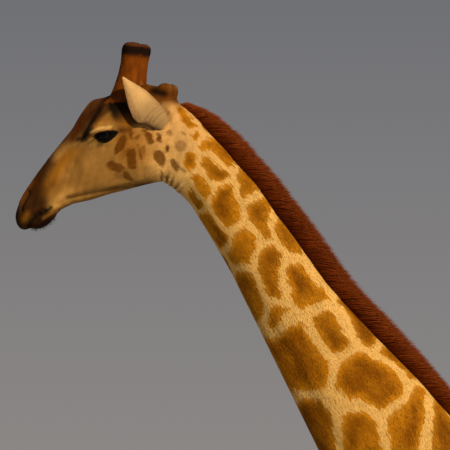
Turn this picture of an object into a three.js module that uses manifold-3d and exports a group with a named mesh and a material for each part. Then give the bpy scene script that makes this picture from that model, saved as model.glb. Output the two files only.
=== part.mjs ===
// Adult bull giraffe standing at ease. One body of flesh is lofted, joined and then parted
// into named solids by thin cuts. Millimetres, +Z up, facing -X, with its left side at -Y.
import * as THREE from "three";
import { mergeVertices } from "three/addons/utils/BufferGeometryUtils.js";
import Module from "manifold-3d";

const wasm = await Module();
wasm.setup();

// ---- Driving dimensions. Local x is 0 over the forefeet, and z is 0 at the ground.
const gap = 0.35; // between neighbouring solids
const earClearance = 2; // round the curled root of an ear
const originX = 100; // puts the middle of the animal's length over the origin
const nose = { x: -1822, z: 4215 }; // tip of the muzzle
const headPitch = THREE.MathUtils.degToRad(36.7); // rise from the nose to the poll
const hindX = 1230; // hind feet behind the forefeet
const hoofHeight = 125;
const kneeHeight = 1060;
const hockHeight = 1060;
const manePeak = 66; // length of the standing hair
const maneLean = [0.76, 0.65]; // the way it stands, square to the crest of the neck
const reachY = 700; // wider than half of the animal, for the cutting prisms

// ---- Shapes

// A station of a loft: its outline on the back and on the belly in the side view, then its
// half-width. Level is where it is widest, 0 at the belly and 1 at the back. Taper widens the
// back of the section, or narrows it below zero. Cup curls the rims of the section.
const station = (back, belly, side, more = {}) => ({
  back, belly, side, y: 0, level: 0.5, taper: 0, cup: 0, ...more,
});

// A level station from its centre and its reach to the rear and to the front.
const ring = (x, z, rear, front, side, y = 0) =>
  station([x + rear, z], [x - front, z], side, { y, level: front / (rear + front) });

const soften = (value, power) => Math.sign(value) * Math.abs(value) ** power;

// A closed body through stations: a sphere whose rows become the sections of two rails.
function loft(stations, { sides = 14, steps = 1, grow = 0, square = 0.92, dome = 0.25 } = {}) {
  const rows = (stations.length - 1) * steps;
  const through = (pick) =>
    new THREE.CatmullRomCurve3(stations.map((s) => new THREE.Vector3(...pick(s))));
  const backRail = through((s) => [s.back[0], 0, s.back[1]]);
  const bellyRail = through((s) => [s.belly[0], 0, s.belly[1]]);
  const breadth = through((s) => [s.side, s.y, s.level]);
  const form = through((s) => [s.taper, s.cup, 0]);
  const body = new THREE.SphereGeometry(1, sides, rows + 2);
  const place = body.getAttribute("position");
  const uv = body.getAttribute("uv");
  for (let i = 0; i < place.count; i++) {
    const row = Math.round((1 - uv.getY(i)) * (rows + 2));
    const t = THREE.MathUtils.clamp((row - 1) / rows, 0, 1);
    const [side, y, level] = breadth.getPoint(t).toArray();
    const [taper, cup] = form.getPoint(t).toArray();
    const belly = bellyRail.getPoint(t);
    const up = backRail.getPoint(t).sub(belly);
    const depth = up.length();
    up.normalize();
    const along = new THREE.Vector3(up.z, 0, -up.x);
    const centre = belly.addScaledVector(up, depth * level).add({ x: 0, y, z: 0 });
    const angle = uv.getX(i) * 2 * Math.PI;
    const reach = grow + depth * (Math.sin(angle) > 0 ? 1 - level : level);
    const across = soften(Math.cos(angle), square) * (1 + taper * Math.sin(angle));
    const curl = cup * ((1 + grow / side) * across) ** 2;
    const end = row === 0 ? -1 : row === rows + 2 ? 1 : 0;
    if (end) centre.addScaledVector(along, end * (grow + dome * Math.min(side, depth / 2)));
    else {
      centre.addScaledVector(up, reach * soften(Math.sin(angle), square) + curl);
      centre.y -= (side + grow) * across;
    }
    place.setXYZ(i, centre.x, centre.y, centre.z);
  }
  return body;
}

// Draws the surface of a body out by [dx, dy, dz] round a point, on both sides alike.
function swell(body, [x, y, z], [rx, ry, rz], [dx, dy, dz]) {
  const place = body.getAttribute("position");
  for (let i = 0; i < place.count; i++) {
    const [px, py, pz] = [place.getX(i), place.getY(i), place.getZ(i)];
    const away = ((px - x) / rx) ** 2 + ((Math.abs(py) - y) / ry) ** 2 + ((pz - z) / rz) ** 2;
    const share = Math.max(0, 1 - away) ** 2;
    place.setXYZ(i, px + share * dx, py + share * dy * Math.sign(Math.round(py)), pz + share * dz);
  }
}

// A cutting prism: a side-view outline carried across from yMin to yMax.
function prism(outline, yMin, yMax, grow = 0) {
  const shape = new THREE.Shape(outline.map(([x, z]) => new THREE.Vector2(x, z)));
  const bevel = { bevelEnabled: grow > 0, bevelThickness: grow, bevelSize: grow, bevelSegments: 1 };
  return new THREE.ExtrudeGeometry(shape, { depth: yMax - yMin, ...bevel })
    .rotateX(Math.PI / 2)
    .translate(0, yMax, 0);
}

function solid(geometry) {
  const bare = geometry.clone();
  bare.deleteAttribute("normal");
  bare.deleteAttribute("uv");
  const merged = mergeVertices(bare, 1e-3);
  return new wasm.Manifold(
    new wasm.Mesh({
      numProp: 3,
      vertProperties: merged.getAttribute("position").array,
      triVerts: new Uint32Array(merged.index.array),
    }),
  );
}

const join = (...geometries) => geometries.map(solid).reduce((a, b) => a.add(b));
const bothSides = (make) => [make(-1), make(1)];

// The largest connected body of a cut piece, without the slivers that a cut can leave.
const mainBody = (piece) =>
  piece.decompose().reduce((a, b) => (b.volume() > a.volume() ? b : a));

// ---- Head, modelled level with x behind the nose tip, then pitched into place

const fromFace = new THREE.Matrix4()
  .makeRotationY(-headPitch)
  .setPosition(nose.x, 0, nose.z);

function atFace(behind, up) {
  const { x, z } = new THREE.Vector3(behind, 0, up).applyMatrix4(fromFace);
  return [x, z];
}

function skull() {
  const upperHead = loft(
    [
      station([-1, 8], [0, -32], 26),
      station([13, 31], [18, -43], 43),
      station([44, 53], [46, -36], 52),
      station([88, 75], [90, -36], 53, { taper: -0.05 }),
      station([140, 97], [135, -44], 50, { taper: -0.12 }),
      station([195, 114], [185, -60], 51, { taper: -0.2, level: 0.48 }),
      station([250, 129], [240, -82], 56, { taper: -0.22, level: 0.48 }),
      station([310, 143], [300, -109], 65, { taper: -0.2, level: 0.5 }),
      station([370, 155], [365, -137], 79, { taper: -0.14, level: 0.54 }),
      station([425, 163], [425, -163], 96, { taper: 0.02, level: 0.58 }),
      station([480, 167], [480, -187], 107, { taper: 0.08, level: 0.61 }),
      station([535, 167], [530, -212], 108, { taper: 0.1, level: 0.62 }),
      station([590, 165], [572, -244], 102, { taper: 0.08, level: 0.62 }),
      station([645, 152], [645, -228], 95, { taper: 0.04, level: 0.6 }),
      station([700, 114], [700, -205], 84, { level: 0.58 }),
      station([745, 62], [735, -120], 62),
    ],
    { sides: 18, steps: 2 },
  );
  const boss = [470, 0, 165];
  const bossPeak = [502, 0, 165];
  const brow = [462, 112, 88];
  const cheekbone = [430, 92, -6];
  const jawMuscle = [500, 84, -112];
  const nostril = [64, 40, 32];
  const temple = [575, 108, 66];
  swell(upperHead, boss, [110, 72, 70], [-4, 0, 24]);
  swell(upperHead, bossPeak, [54, 60, 70], [-4, 0, 20]);
  swell(upperHead, brow, [80, 52, 44], [-4, 20, 12]);
  swell(upperHead, cheekbone, [130, 40, 34], [0, 9, 0]);
  swell(upperHead, jawMuscle, [120, 60, 84], [0, 11, 0]);
  swell(upperHead, nostril, [44, 26, 28], [-2, 9, 4]);
  swell(upperHead, temple, [50, 40, 60], [0, -9, 0]);
  const mandible = loft(
    [
      station([34, -40], [36, -54], 24),
      station([50, -24], [50, -66], 38),
      station([86, -20], [84, -75], 43),
      station([122, -26], [120, -69], 42),
      station([160, -36], [156, -58], 38),
      station([215, -44], [208, -69], 38),
      station([280, -66], [272, -100], 42),
      station([340, -90], [335, -122], 44),
    ],
    { sides: 12 },
  );
  const knob = (s) =>
    new THREE.SphereGeometry(1, 10, 6).scale(36, 31, 36).translate(742, s * 40, 45);
  return join(...[upperHead, mandible, ...bothSides(knob)].map((g) => g.applyMatrix4(fromFace)));
}

// Skin-covered bone: it rises from a flared foot to a blunt, slightly swollen crown.
function ossicone(s, grow = 0) {
  return loft(
    [
      ring(-1371, 4873, 24, 24, 24, s * 67),
      ring(-1371, 4866, 38, 37, 36, s * 67),
      ring(-1372, 4844, 41, 40, 39, s * 67),
      ring(-1377, 4805, 37, 39, 36, s * 64),
      ring(-1383, 4755, 38, 45, 35, s * 60),
      ring(-1390, 4705, 46, 58, 38, s * 56),
      ring(-1400, 4650, 58, 80, 40, s * 51),
    ],
    { sides: 12, grow, square: 1 },
  );
}

// A leaf-shaped ear in its own frame: x to the tip, y across, z out of its back.
function earLeaf(grow) {
  const rib = (x, over, under, side, cup) =>
    station([x, over], [x, -under], side, { level: under / (over + under), cup });
  return loft(
    [
      rib(-40, 22, 22, 32, 0),
      rib(-8, 24, 20, 40, -6),
      rib(28, 16, 10, 50, -20),
      rib(64, 10, 5, 54, -27),
      rib(104, 7, 4, 47, -23),
      rib(145, 6, 3, 33, -15),
      rib(178, 5, 3, 17, -6),
      rib(197, 3, 2, 4, -1),
    ],
    { sides: 12, grow, square: 1 },
  );
}

function ear(s, grow = 0) {
  const root = new THREE.Vector3(-1262, s * 98, 4598);
  const tip = new THREE.Vector3(-1386, s * 150, 4744);
  const along = tip.clone().sub(root).normalize();
  const outward = new THREE.Vector3(0.65, s, 0.1);
  const across = new THREE.Vector3().crossVectors(outward, along).normalize();
  const back = new THREE.Vector3().crossVectors(along, across);
  const frame = new THREE.Matrix4().makeBasis(along, across, back).setPosition(root);
  return earLeaf(grow).applyMatrix4(frame);
}

const eye = (s, grow = 0) =>
  new THREE.SphereGeometry(29 + grow, 12, 8).translate(-1463, s * 90, 4532);

// ---- Neck and trunk in one run, from inside the head to the buttocks

function torso() {
  const chest = { level: 0.44, taper: -0.2 };
  const barrel = { level: 0.42, taper: -0.14 };
  const body = loft(
    [
      station([-1290, 4640], [-1345, 4430], 68),
      station([-1210, 4652], [-1285, 4374], 80),
      station([-1130, 4584], [-1226, 4333], 83),
      station([-1014, 4461], [-1166, 4276], 83),
      station([-897, 4334], [-1108, 4183], 84),
      station([-780, 4189], [-1021, 4038], 87),
      station([-628, 3981], [-911, 3822], 94),
      station([-451, 3795], [-800, 3602], 107),
      station([-295, 3640], [-688, 3380], 126, { taper: -0.06 }),
      station([-125, 3450], [-560, 3120], 152, { taper: -0.12 }),
      station([30, 3290], [-440, 2880], 184, { level: 0.48, taper: -0.18 }),
      station([135, 3172], [-365, 2680], 214, { level: 0.46, taper: -0.22 }),
      station([215, 3122], [-325, 2490], 238, chest),
      station([285, 3092], [-280, 2300], 256, chest),
      station([350, 3056], [-180, 2110], 274, chest),
      station([420, 3012], [-20, 1980], 293, chest),
      station([505, 2958], [180, 1935], 314, barrel),
      station([640, 2884], [420, 1925], 338, barrel),
      station([810, 2798], [680, 1948], 347, barrel),
      station([990, 2722], [920, 2005], 330, barrel),
      station([1160, 2668], [1120, 2085], 292, barrel),
      station([1310, 2606], [1280, 2160], 244, barrel),
      station([1425, 2524], [1400, 2205], 184, barrel),
      station([1500, 2420], [1478, 2245], 112),
    ],
    { sides: 20, dome: 0.35 },
  );
  const withers = [250, 0, 3110];
  const blade = [150, 215, 2700];
  const breast = [-250, 130, 2400];
  const hip = [1125, 235, 2590];
  const flank = [985, 310, 2400];
  swell(body, withers, [260, 110, 160], [0, 0, 22]);
  swell(body, blade, [190, 150, 430], [0, 26, 0]);
  swell(body, breast, [200, 150, 240], [-26, 18, 0]);
  swell(body, hip, [150, 130, 110], [0, 22, 14]);
  swell(body, flank, [150, 120, 200], [0, -22, 0]);
  return body;
}

// The mane stands on the crest of the neck, from the poll to the withers.
function mane(grow) {
  const tuft = (x, z, tall, side) => {
    const [dx, dz] = maneLean;
    const root = 26;
    const level = root / (root + tall);
    return station([x + tall * dx, z + tall * dz], [x - root * dx, z - root * dz], side, { level });
  };
  return loft(
    [
      tuft(-1206, 4640, 32, 8),
      tuft(-1155, 4602, 58, 13),
      tuft(-1080, 4532, manePeak + 8, 15),
      tuft(-935, 4377, manePeak + 6, 16),
      tuft(-780, 4189, manePeak + 2, 17),
      tuft(-628, 3981, manePeak + 6, 18),
      tuft(-451, 3795, manePeak + 3, 18),
      tuft(-295, 3640, manePeak - 8, 18),
      tuft(-125, 3450, manePeak - 12, 17),
      tuft(20, 3298, 36, 14),
      tuft(105, 3198, 12, 8),
    ],
    { sides: 8, grow, dome: 0.1 },
  );
}

// ---- Legs. Each swings a little fore or aft from its root, and has two hoofed toes.

function leg(rings, s, stride, rootHeight) {
  const placed = rings.map(([x, z, rear, front, side, y]) => {
    const swing = stride * THREE.MathUtils.clamp(1 - z / rootHeight, 0, 1);
    return ring(x + swing, z, rear, front, side, s * y);
  });
  return loft(placed, { sides: 12, dome: 0, square: 1 });
}

// Columns: x, z, rear reach, front reach, half-width, distance from the midline.
const foreRings = [
  [60, 2720, 110, 130, 60, 150],
  [30, 2500, 160, 170, 84, 176],
  [14, 2290, 190, 178, 98, 190],
  [34, 2090, 190, 152, 102, 198],
  [36, 1940, 158, 124, 92, 200],
  [24, 1790, 118, 108, 79, 199],
  [14, 1560, 90, 92, 67, 197],
  [4, 1300, 72, 76, 56, 194],
  [0, 1160, 74, 76, 60, 192],
  [-2, kneeHeight, 76, 84, 66, 191],
  [4, 970, 68, 62, 57, 190],
  [6, 850, 55, 49, 44, 189],
  [6, 600, 54, 46, 42, 187],
  [6, 400, 60, 50, 45, 185],
  [0, 290, 78, 64, 60, 184],
  [-18, 215, 62, 58, 54, 184],
  [-40, 160, 72, 74, 66, 184],
  [-48, hoofHeight - 15, 80, 84, 72, 184],
];

const hindRings = [
  [-20, 2500, 110, 110, 60, 120],
  [-28, 2400, 196, 184, 112, 148],
  [-40, 2280, 248, 228, 136, 158],
  [-64, 2130, 258, 238, 149, 166],
  [-100, 1960, 206, 190, 130, 172],
  [-96, 1780, 156, 146, 100, 176],
  [-40, 1520, 104, 112, 72, 178],
  [24, 1290, 82, 84, 56, 180],
  [56, 1150, 98, 74, 54, 181],
  [58, hockHeight, 94, 80, 60, 182],
  [44, 960, 72, 68, 54, 182],
  [28, 830, 56, 54, 43, 182],
  [14, 580, 52, 48, 40, 182],
  [8, 390, 56, 50, 43, 182],
  [2, 282, 74, 62, 57, 182],
  [-18, 210, 58, 56, 52, 182],
  [-38, 160, 68, 70, 62, 182],
  [-46, hoofHeight - 15, 76, 80, 68, 182],
].map(([x, ...rest]) => [x + hindX, ...rest]);

// Half of a cloven hoof, trimmed flat at the sole and under the coronet.
function toe(x, y, inner, size) {
  const slice = (z, rear, front, side) =>
    ring(x, z, rear * size, front * size, side * size, y + inner * (side + 2.5) * size);
  const horn = loft(
    [
      slice(hoofHeight + 15, 74, 78, 33),
      slice(42, 108, 141, 43),
      slice(-20, 116, 158, 44),
    ],
    { sides: 10, dome: 0, square: 0.82 },
  );
  const [left, right] = [x - reachY, x + reachY];
  const slab = [[left, 0], [right, 0], [right, hoofHeight], [left, hoofHeight]];
  return solid(horn).intersect(solid(prism(slab, -reachY, reachY)));
}

const limbs = [
  { name: "fore_left", s: -1, rings: foreRings, stride: -60, root: 2200, size: 0.96 },
  { name: "fore_right", s: 1, rings: foreRings, stride: 45, root: 2200, size: 0.96 },
  { name: "hind_left", s: -1, rings: hindRings, stride: 60, root: 2300, size: 0.88 },
  { name: "hind_right", s: 1, rings: hindRings, stride: -50, root: 2300, size: 0.88 },
];

// ---- Tail

const dock = () =>
  loft(
    [
      station([1425, 2512], [1385, 2410], 58),
      station([1515, 2450], [1455, 2360], 46),
      station([1572, 2345], [1510, 2295], 35),
      ring(1562, 2200, 28, 26, 28),
      ring(1572, 1980, 21, 20, 21),
      ring(1570, 1740, 17, 17, 17),
      ring(1566, 1560, 15, 15, 15),
    ],
    { sides: 10, dome: 0.1 },
  );

const tailTuft = (grow = 0) =>
  loft(
    [
      ring(1567, 1640, 22, 22, 21),
      ring(1566, 1560, 36, 34, 32),
      ring(1567, 1400, 50, 48, 44),
      ring(1569, 1220, 54, 50, 46),
      ring(1572, 1050, 42, 38, 36),
      ring(1574, 930, 24, 20, 20),
      ring(1576, 870, 6, 6, 6),
    ],
    { sides: 8, grow },
  );

// ---- The whole animal, then its parts

let flesh = join(torso(), dock()).add(skull());
for (const { rings, s, stride, root } of limbs) flesh = flesh.add(solid(leg(rings, s, stride, root)));

const colours = { pale: 0xd9ad6c, tan: 0xb5843c, russet: 0x7a3a16, dark: 0x2a1a10, horn: 0x3a332b };
const finish = (color, roughness = 0.9) =>
  new THREE.MeshStandardMaterial({ color, roughness, metalness: 0 });
const giraffe = new THREE.Group();

function add(name, piece, material) {
  const mesh = piece.getMesh();
  const geometry = new THREE.BufferGeometry()
    .setAttribute("position", new THREE.BufferAttribute(new Float32Array(mesh.vertProperties), 3))
    .setIndex(new THREE.BufferAttribute(mesh.triVerts, 1));
  const part = new THREE.Mesh(geometry, material);
  part.name = name;
  giraffe.add(part);
}

// What is set into the flesh leaves a socket one clearance wider than itself.
function setIn(name, make, material, clearance = gap) {
  add(name, solid(make(0)), material);
  flesh = flesh.subtract(solid(make(clearance)));
}

setIn("mane", mane, finish(colours.russet));
setIn("tail_tuft", tailTuft, finish(colours.dark));
for (const [side, s] of [["left", -1], ["right", 1]]) {
  setIn(`eye_${side}`, (grow) => eye(s, grow), finish(colours.dark, 0.15));
  setIn(`ear_${side}`, (grow) => ear(s, grow), finish(colours.pale), earClearance);
  setIn(`ossicone_${side}`, (grow) => ossicone(s, grow), finish(colours.tan));
}

// Takes what lies inside an outline out of the flesh, and leaves one gap round it.
function cutOut(name, outline, yMin = -reachY, yMax = reachY) {
  const piece = flesh.intersect(solid(prism(outline, yMin, yMax)));
  add(name, mainBody(piece), finish(colours.tan));
  flesh = mainBody(flesh.subtract(solid(prism(outline, yMin, yMax, gap))));
}

const mouth = [[-60, -44], [30, -38], [48, -22], [112, -20], [162, -46]];
const jawHinge = [[430, -96], [505, -124], [530, -300], [-60, -300]];
cutOut("jaw", [...mouth, ...jawHinge].map(([behind, up]) => atFace(behind, up)));
cutOut("head", [[-2100, 4000], [-1225, 4330], [-1200, 4480], [-1193, 5000], [-2100, 5000]]);
cutOut("neck", [[-1400, 4900], [-1700, 4000], [-470, 2790], [50, 3260], [-600, 4700]]);
cutOut("tail", [[1512, 2600], [1512, 1500], [1800, 1500], [1800, 2600]]);

for (const { name, s, rings, stride, root, size } of limbs) {
  const fore = name.startsWith("fore");
  const inner = fore ? 92 : 60;
  const joint = fore ? kneeHeight : hockHeight;
  const [front, back] = fore ? [-190, 240] : [900, 1580];
  const span = (near) => (s < 0 ? [-reachY, -near] : [near, reachY]);
  const sole = hoofHeight + gap;
  const shin = [[front - 200, sole], [back + 200, sole], [back + 200, joint], [front - 200, joint]];
  const crown = fore
    ? [[240, 1990], [190, 2110], [-130, 2110], [-190, 1990]]
    : [[1580, 2180], [1440, 2400], [1260, 2470], [1080, 2440], [960, 2260], [900, 1980]];
  cutOut(`${name}_lower_leg`, shin, ...span(20));
  cutOut(`${name}_upper_leg`, [[front, 900], [back, 900], ...crown], ...span(inner));
  const [coronetX, coronetZ, , , , y] = rings.at(-1);
  const footX = coronetX + stride * (1 - coronetZ / root);
  for (const [toeName, way] of [["outer_hoof", s], ["inner_hoof", -s]])
    add(`${name}_${toeName}`, toe(footX, s * y, way, size), finish(colours.horn, 0.5));
}
add("trunk", flesh, finish(colours.tan));

giraffe.position.x = originX;
export default giraffe;
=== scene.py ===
"""A life-size standing giraffe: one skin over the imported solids, with its coat, mane, eyes and hooves."""
import math

import bmesh
import bpy
import numpy as np
from mathutils import Matrix, Vector
from mathutils.bvhtree import BVHTree
from mathutils.kdtree import KDTree


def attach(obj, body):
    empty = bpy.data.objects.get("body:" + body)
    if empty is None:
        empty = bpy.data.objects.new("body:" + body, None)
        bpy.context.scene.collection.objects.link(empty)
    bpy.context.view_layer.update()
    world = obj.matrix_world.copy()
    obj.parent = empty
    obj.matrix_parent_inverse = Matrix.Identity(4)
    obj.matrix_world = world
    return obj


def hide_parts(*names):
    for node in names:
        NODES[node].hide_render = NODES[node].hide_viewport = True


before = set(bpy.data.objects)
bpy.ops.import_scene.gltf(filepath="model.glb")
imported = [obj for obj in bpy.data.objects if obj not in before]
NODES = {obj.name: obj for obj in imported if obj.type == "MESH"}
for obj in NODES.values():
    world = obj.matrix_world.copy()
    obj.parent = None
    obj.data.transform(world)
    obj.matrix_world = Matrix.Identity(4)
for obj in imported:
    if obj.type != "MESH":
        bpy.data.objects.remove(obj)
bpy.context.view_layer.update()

SIDES = {"left": -1, "right": 1}
LEGS = ["fore_left", "fore_right", "hind_left", "hind_right"]

# ---- Places on the animal, in metres. It faces -X, and its left side is at -Y.

SNOUT = np.array([-1.722, 0.0, 4.215])
FACE_PITCH = math.radians(36.7)  # the line of the face above the level


def on_head(behind, up, out=0.0):
    """A point of the head: behind the snout along the face, above that line, and out from the middle."""
    c, s = math.cos(FACE_PITCH), math.sin(FACE_PITCH)
    return SNOUT + np.array([behind * c - up * s, out, behind * s + up * c])


def folded(points):
    """The points of both sides as distances out from the middle, so that one side's numbers serve both."""
    return np.stack([points[:, 0], np.abs(points[:, 1]), points[:, 2]], 1)


def on_own_side(points, place):
    """A place or direction of the right side, mirrored for each point that lies on the left."""
    places = np.tile(place, (len(points), 1))
    places[points[:, 1] < 0, 1] *= -1
    return places


def head_place(points):
    """Each point's distance behind the snout, above the face line and out from the middle."""
    c, s = math.cos(FACE_PITCH), math.sin(FACE_PITCH)
    off = points - SNOUT
    return np.stack([off[:, 0] * c + off[:, 2] * s, off[:, 2] * c - off[:, 0] * s, np.abs(off[:, 1])], 1)


EYE = np.array([-1.363, 0.090, 4.532])
EYE_RADIUS = 0.029
LID = 0.0026  # thickness of the eyelid over the eyeball
EAR_ROOT = np.array([-1.162, 0.098, 4.598])
EAR_TIP = np.array([-1.286, 0.150, 4.744])
EAR_OUTWARD = np.array([0.65, 1.0, 0.1])
OSSICONE_ROOT = np.array([-1.300, 0.051, 4.650])
OSSICONE_TOP = np.array([-1.271, 0.067, 4.873])
CUT = 0.0025  # more than the width of the cuts between the solids
COAT_DEPTH = 0.003  # the skin lies this far inside the solids
VOXEL = 0.012
HOOF_VOXEL = 0.004

HEAD_LINE = [on_head(0.02, 0.0), on_head(0.25, 0.02), on_head(0.55, 0.01), on_head(0.80, -0.06)]
SPINE_LINE = [
    (-1.230, 0, 4.560),
    (-1.147, 0, 4.513),
    (-0.990, 0, 4.369),
    (-0.800, 0, 4.114),
    (-0.526, 0, 3.700),
    (-0.243, 0, 3.285),
    (-0.015, 0, 2.926),
    (0.185, 0, 2.600),
    (0.630, 0, 2.440),
    (1.055, 0, 2.380),
    (1.395, 0, 2.390),
    (1.620, 0, 2.360),
]
TAIL_LINE = [(1.500, 0, 2.480), (1.600, 0, 2.390), (1.645, 0, 2.100), (1.664, 0, 1.700), (1.668, 0, 1.500)]

# ---- Small tools


def mesh_piece(name, points, faces):
    """A new object with these points and faces."""
    mesh = bpy.data.meshes.new(name)
    mesh.from_pydata([tuple(p) for p in points], [], [tuple(f) for f in faces])
    mesh.update()
    piece = bpy.data.objects.new(name, mesh)
    bpy.context.scene.collection.objects.link(piece)
    return piece


def fast_mesh(name, points, triangles):
    """A new object from arrays of points and triangles."""
    mesh = bpy.data.meshes.new(name)
    mesh.vertices.add(len(points))
    mesh.vertices.foreach_set("co", points.astype(np.float32).ravel())
    mesh.loops.add(triangles.size)
    mesh.loops.foreach_set("vertex_index", triangles.astype(np.int32).ravel())
    mesh.polygons.add(len(triangles))
    mesh.polygons.foreach_set("loop_start", np.arange(0, triangles.size, 3, dtype=np.int32))
    mesh.update(calc_edges=True)
    piece = bpy.data.objects.new(name, mesh)
    bpy.context.scene.collection.objects.link(piece)
    return piece


def values_of(items, key, width, kind=np.float32):
    """What the items of a mesh hold under a key, with a row for each item."""
    values = np.empty(len(items) * width, kind)
    items.foreach_get(key, values)
    return values.reshape(-1, width)


def points_of(mesh):
    return values_of(mesh.vertices, "co", 3).astype(float)


def set_points(mesh, points):
    mesh.vertices.foreach_set("co", points.astype(np.float32).ravel())
    mesh.update()


def normals_of(mesh):
    return values_of(mesh.vertex_normals, "vector", 3).astype(float)


def edges_of(mesh):
    return values_of(mesh.edges, "vertices", 2, np.int32)


def triangles_of(mesh):
    mesh.calc_loop_triangles()
    return values_of(mesh.loop_triangles, "vertices", 3, np.int32)


def unit(vectors):
    size = np.linalg.norm(vectors, axis=-1, keepdims=True)
    return vectors / np.maximum(size, 1e-12)


def neighbour_mean(edges, values):
    """The mean of each point's neighbours."""
    a, b = edges[:, 0], edges[:, 1]
    count = np.bincount(a, minlength=len(values)) + np.bincount(b, minlength=len(values))
    columns = []
    for k in range(values.shape[1]):
        total = np.bincount(a, values[b, k], len(values)) + np.bincount(b, values[a, k], len(values))
        columns.append(total / np.maximum(count, 1))
    return np.stack(columns, 1)


def smooth(edges, values, steps, weight):
    """Moves each value towards its neighbours' mean, by its weight, in steps."""
    share = np.broadcast_to(weight, len(values))[:, None]
    for _ in range(steps):
        values = values + share * (neighbour_mean(edges, values) - values)
    return values


def face_outwards(piece):
    """Turns every face of a closed piece outwards."""
    net = bmesh.new()
    net.from_mesh(piece.data)
    bmesh.ops.recalc_face_normals(net, faces=net.faces)
    net.to_mesh(piece.data)
    net.free()


def shade_smooth(piece):
    for polygon in piece.data.polygons:
        polygon.use_smooth = True


def remesh(piece, voxel):
    """Gives the piece one closed surface with faces of the voxel's size."""
    grid = piece.modifiers.new("grid", "REMESH")
    grid.mode = "VOXEL"
    grid.voxel_size = voxel
    apply_modifiers(piece)


def apply_modifiers(piece):
    depsgraph = bpy.context.evaluated_depsgraph_get()
    mesh = bpy.data.meshes.new_from_object(piece.evaluated_get(depsgraph))
    piece.modifiers.clear()
    piece.data = mesh


def combine(piece, other, operation):
    """Joins other to the piece, or cuts it out, and removes other."""
    step = piece.modifiers.new("combine", "BOOLEAN")
    step.operation = operation
    step.solver = "MANIFOLD"
    step.object = other
    apply_modifiers(piece)
    bpy.data.objects.remove(other)


def along_line(line, points):
    """Each point's nearest place on a line: how far along it is, the place, and the line's direction."""
    line = np.array(line, float)
    best = np.full(len(points), np.inf)
    far = np.zeros(len(points))
    place = np.zeros((len(points), 3))
    way = np.zeros((len(points), 3))
    start = 0.0
    for a, b in zip(line[:-1], line[1:]):
        step = b - a
        length = np.linalg.norm(step)
        t = np.clip((points - a) @ step / length**2, 0, 1)
        near = a + t[:, None] * step
        distance = np.linalg.norm(points - near, axis=1)
        closer = distance < best
        best[closer] = distance[closer]
        far[closer] = start + t[closer] * length
        place[closer] = near[closer]
        way[closer] = step / length
        start += length
    return best, far, place, way


def bump(distance, width):
    """A smooth hill, 1 at no distance and nearly 0 beyond twice the width."""
    return np.exp(-((distance / width) ** 2))


def segment_distance(points, a, b):
    """Each point's distance from the line between a and b."""
    a, b = np.array(a, float), np.array(b, float)
    step = b - a
    t = np.clip((points - a) @ step / max(step @ step, 1e-12), 0, 1)
    return np.linalg.norm(points - a - t[:, None] * step, axis=1)


def path_distance(points, path):
    """Each point's distance from a path of straight lengths."""
    return np.min([segment_distance(points, a, b) for a, b in zip(path[:-1], path[1:])], axis=0)


def ramp(value, low, high):
    """0 below low, 1 above high, smooth between."""
    t = np.clip((value - low) / (high - low), 0, 1)
    return t * t * (3 - 2 * t)


# ---- The skin: all the flesh as one surface, finer at the head

FLESH = [n for n in NODES if not n.startswith(("eye", "ear", "mane", "tail_tuft")) and not n.endswith("hoof")]

# How widely the facets of each part are smoothed away.
SOFTNESS = {"trunk": 0.040, "neck": 0.022, "upper_leg": 0.018, "lower_leg": 0.009, "head": 0.011}
LEAST_SOFTNESS = 0.006
SOFTENING_STEPS = 30
FINE_HEAD = (-1.02, 4.1)  # the skin's grid is halved before this x and above this z
FINE_ROUND_EYE = 0.060  # and halved again so near to an eye
FINE_LIPS = (0.19, 0.075)  # and on the muzzle, this far behind the snout and above the face line
EAR_RINGS = 90
EAR_SPOKES = 48


def flesh_solids():
    """One mesh of all the flesh solids and the eyes in them, and the node name of each of its faces."""
    points, faces, labels = [], [], []
    for name in [*FLESH, "eye_left", "eye_right"]:
        net = bmesh.new()
        net.from_mesh(NODES[name].data)
        bmesh.ops.remove_doubles(net, verts=net.verts, dist=1e-6)
        first = len(points)
        points += [v.co.copy() for v in net.verts]
        faces += [[first + v.index for v in f.verts] for f in net.faces]
        labels += [name] * len(net.faces)
        net.free()
    return points, faces, labels


def outer_faces(points, faces):
    """The faces outside the cuts between the solids: nothing lies close in front of them."""
    tree = BVHTree.FromPolygons(points, faces)
    outer = []
    for k, face in enumerate(faces):
        middle = sum((points[v] for v in face), Vector()) / len(face)
        out = (points[face[1]] - points[face[0]]).cross(points[face[2]] - points[face[0]]).normalized()
        if tree.ray_cast(middle + out * 1e-5, out, CUT)[0] is None:
            outer.append(k)
    return outer


def part_of(label):
    """The part of the body that a node's name stands for."""
    for part in ["upper_leg", "lower_leg", "trunk", "neck", "tail", "ossicone", "jaw"]:
        if part in label:
            return part
    return "head"


def of_head(parts):
    """True for the points of the head and jaw."""
    return np.isin(parts, ["head", "jaw"])


def nearest_on(tree, points, labels):
    """The nearest surface place, its outward side and its part for each point."""
    place, side, parts = np.empty((len(points), 3)), np.empty((len(points), 3)), []
    for i, p in enumerate(points):
        spot, normal, face, _ = tree.find_nearest(p)
        place[i] = spot
        side[i] = normal
        parts.append(labels[face])
    return place, side, np.array(parts)


def refine(mesh, chosen):
    """Divides the edges whose two points are chosen."""
    net = bmesh.new()
    net.from_mesh(mesh)
    net.verts.ensure_lookup_table()
    edges = [e for e in net.edges if chosen[e.verts[0].index] and chosen[e.verts[1].index]]
    bmesh.ops.subdivide_edges(net, edges=edges, cuts=1, use_grid_fill=True)
    bmesh.ops.triangulate(net, faces=[f for f in net.faces if len(f.verts) > 4])
    net.to_mesh(mesh)
    net.free()
    mesh.update()


def ear_wrinkles(far, wide):
    """Folds that curve round the root of the ear and fade towards its blade."""
    height = 0.0
    for place, deep in ((0.004, 0.0012), (0.018, 0.0007), (0.032, 0.0009)):
        height = height - deep * bump(far + 0.010 * wide**2 - place, 0.0045)
    return height


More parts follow.
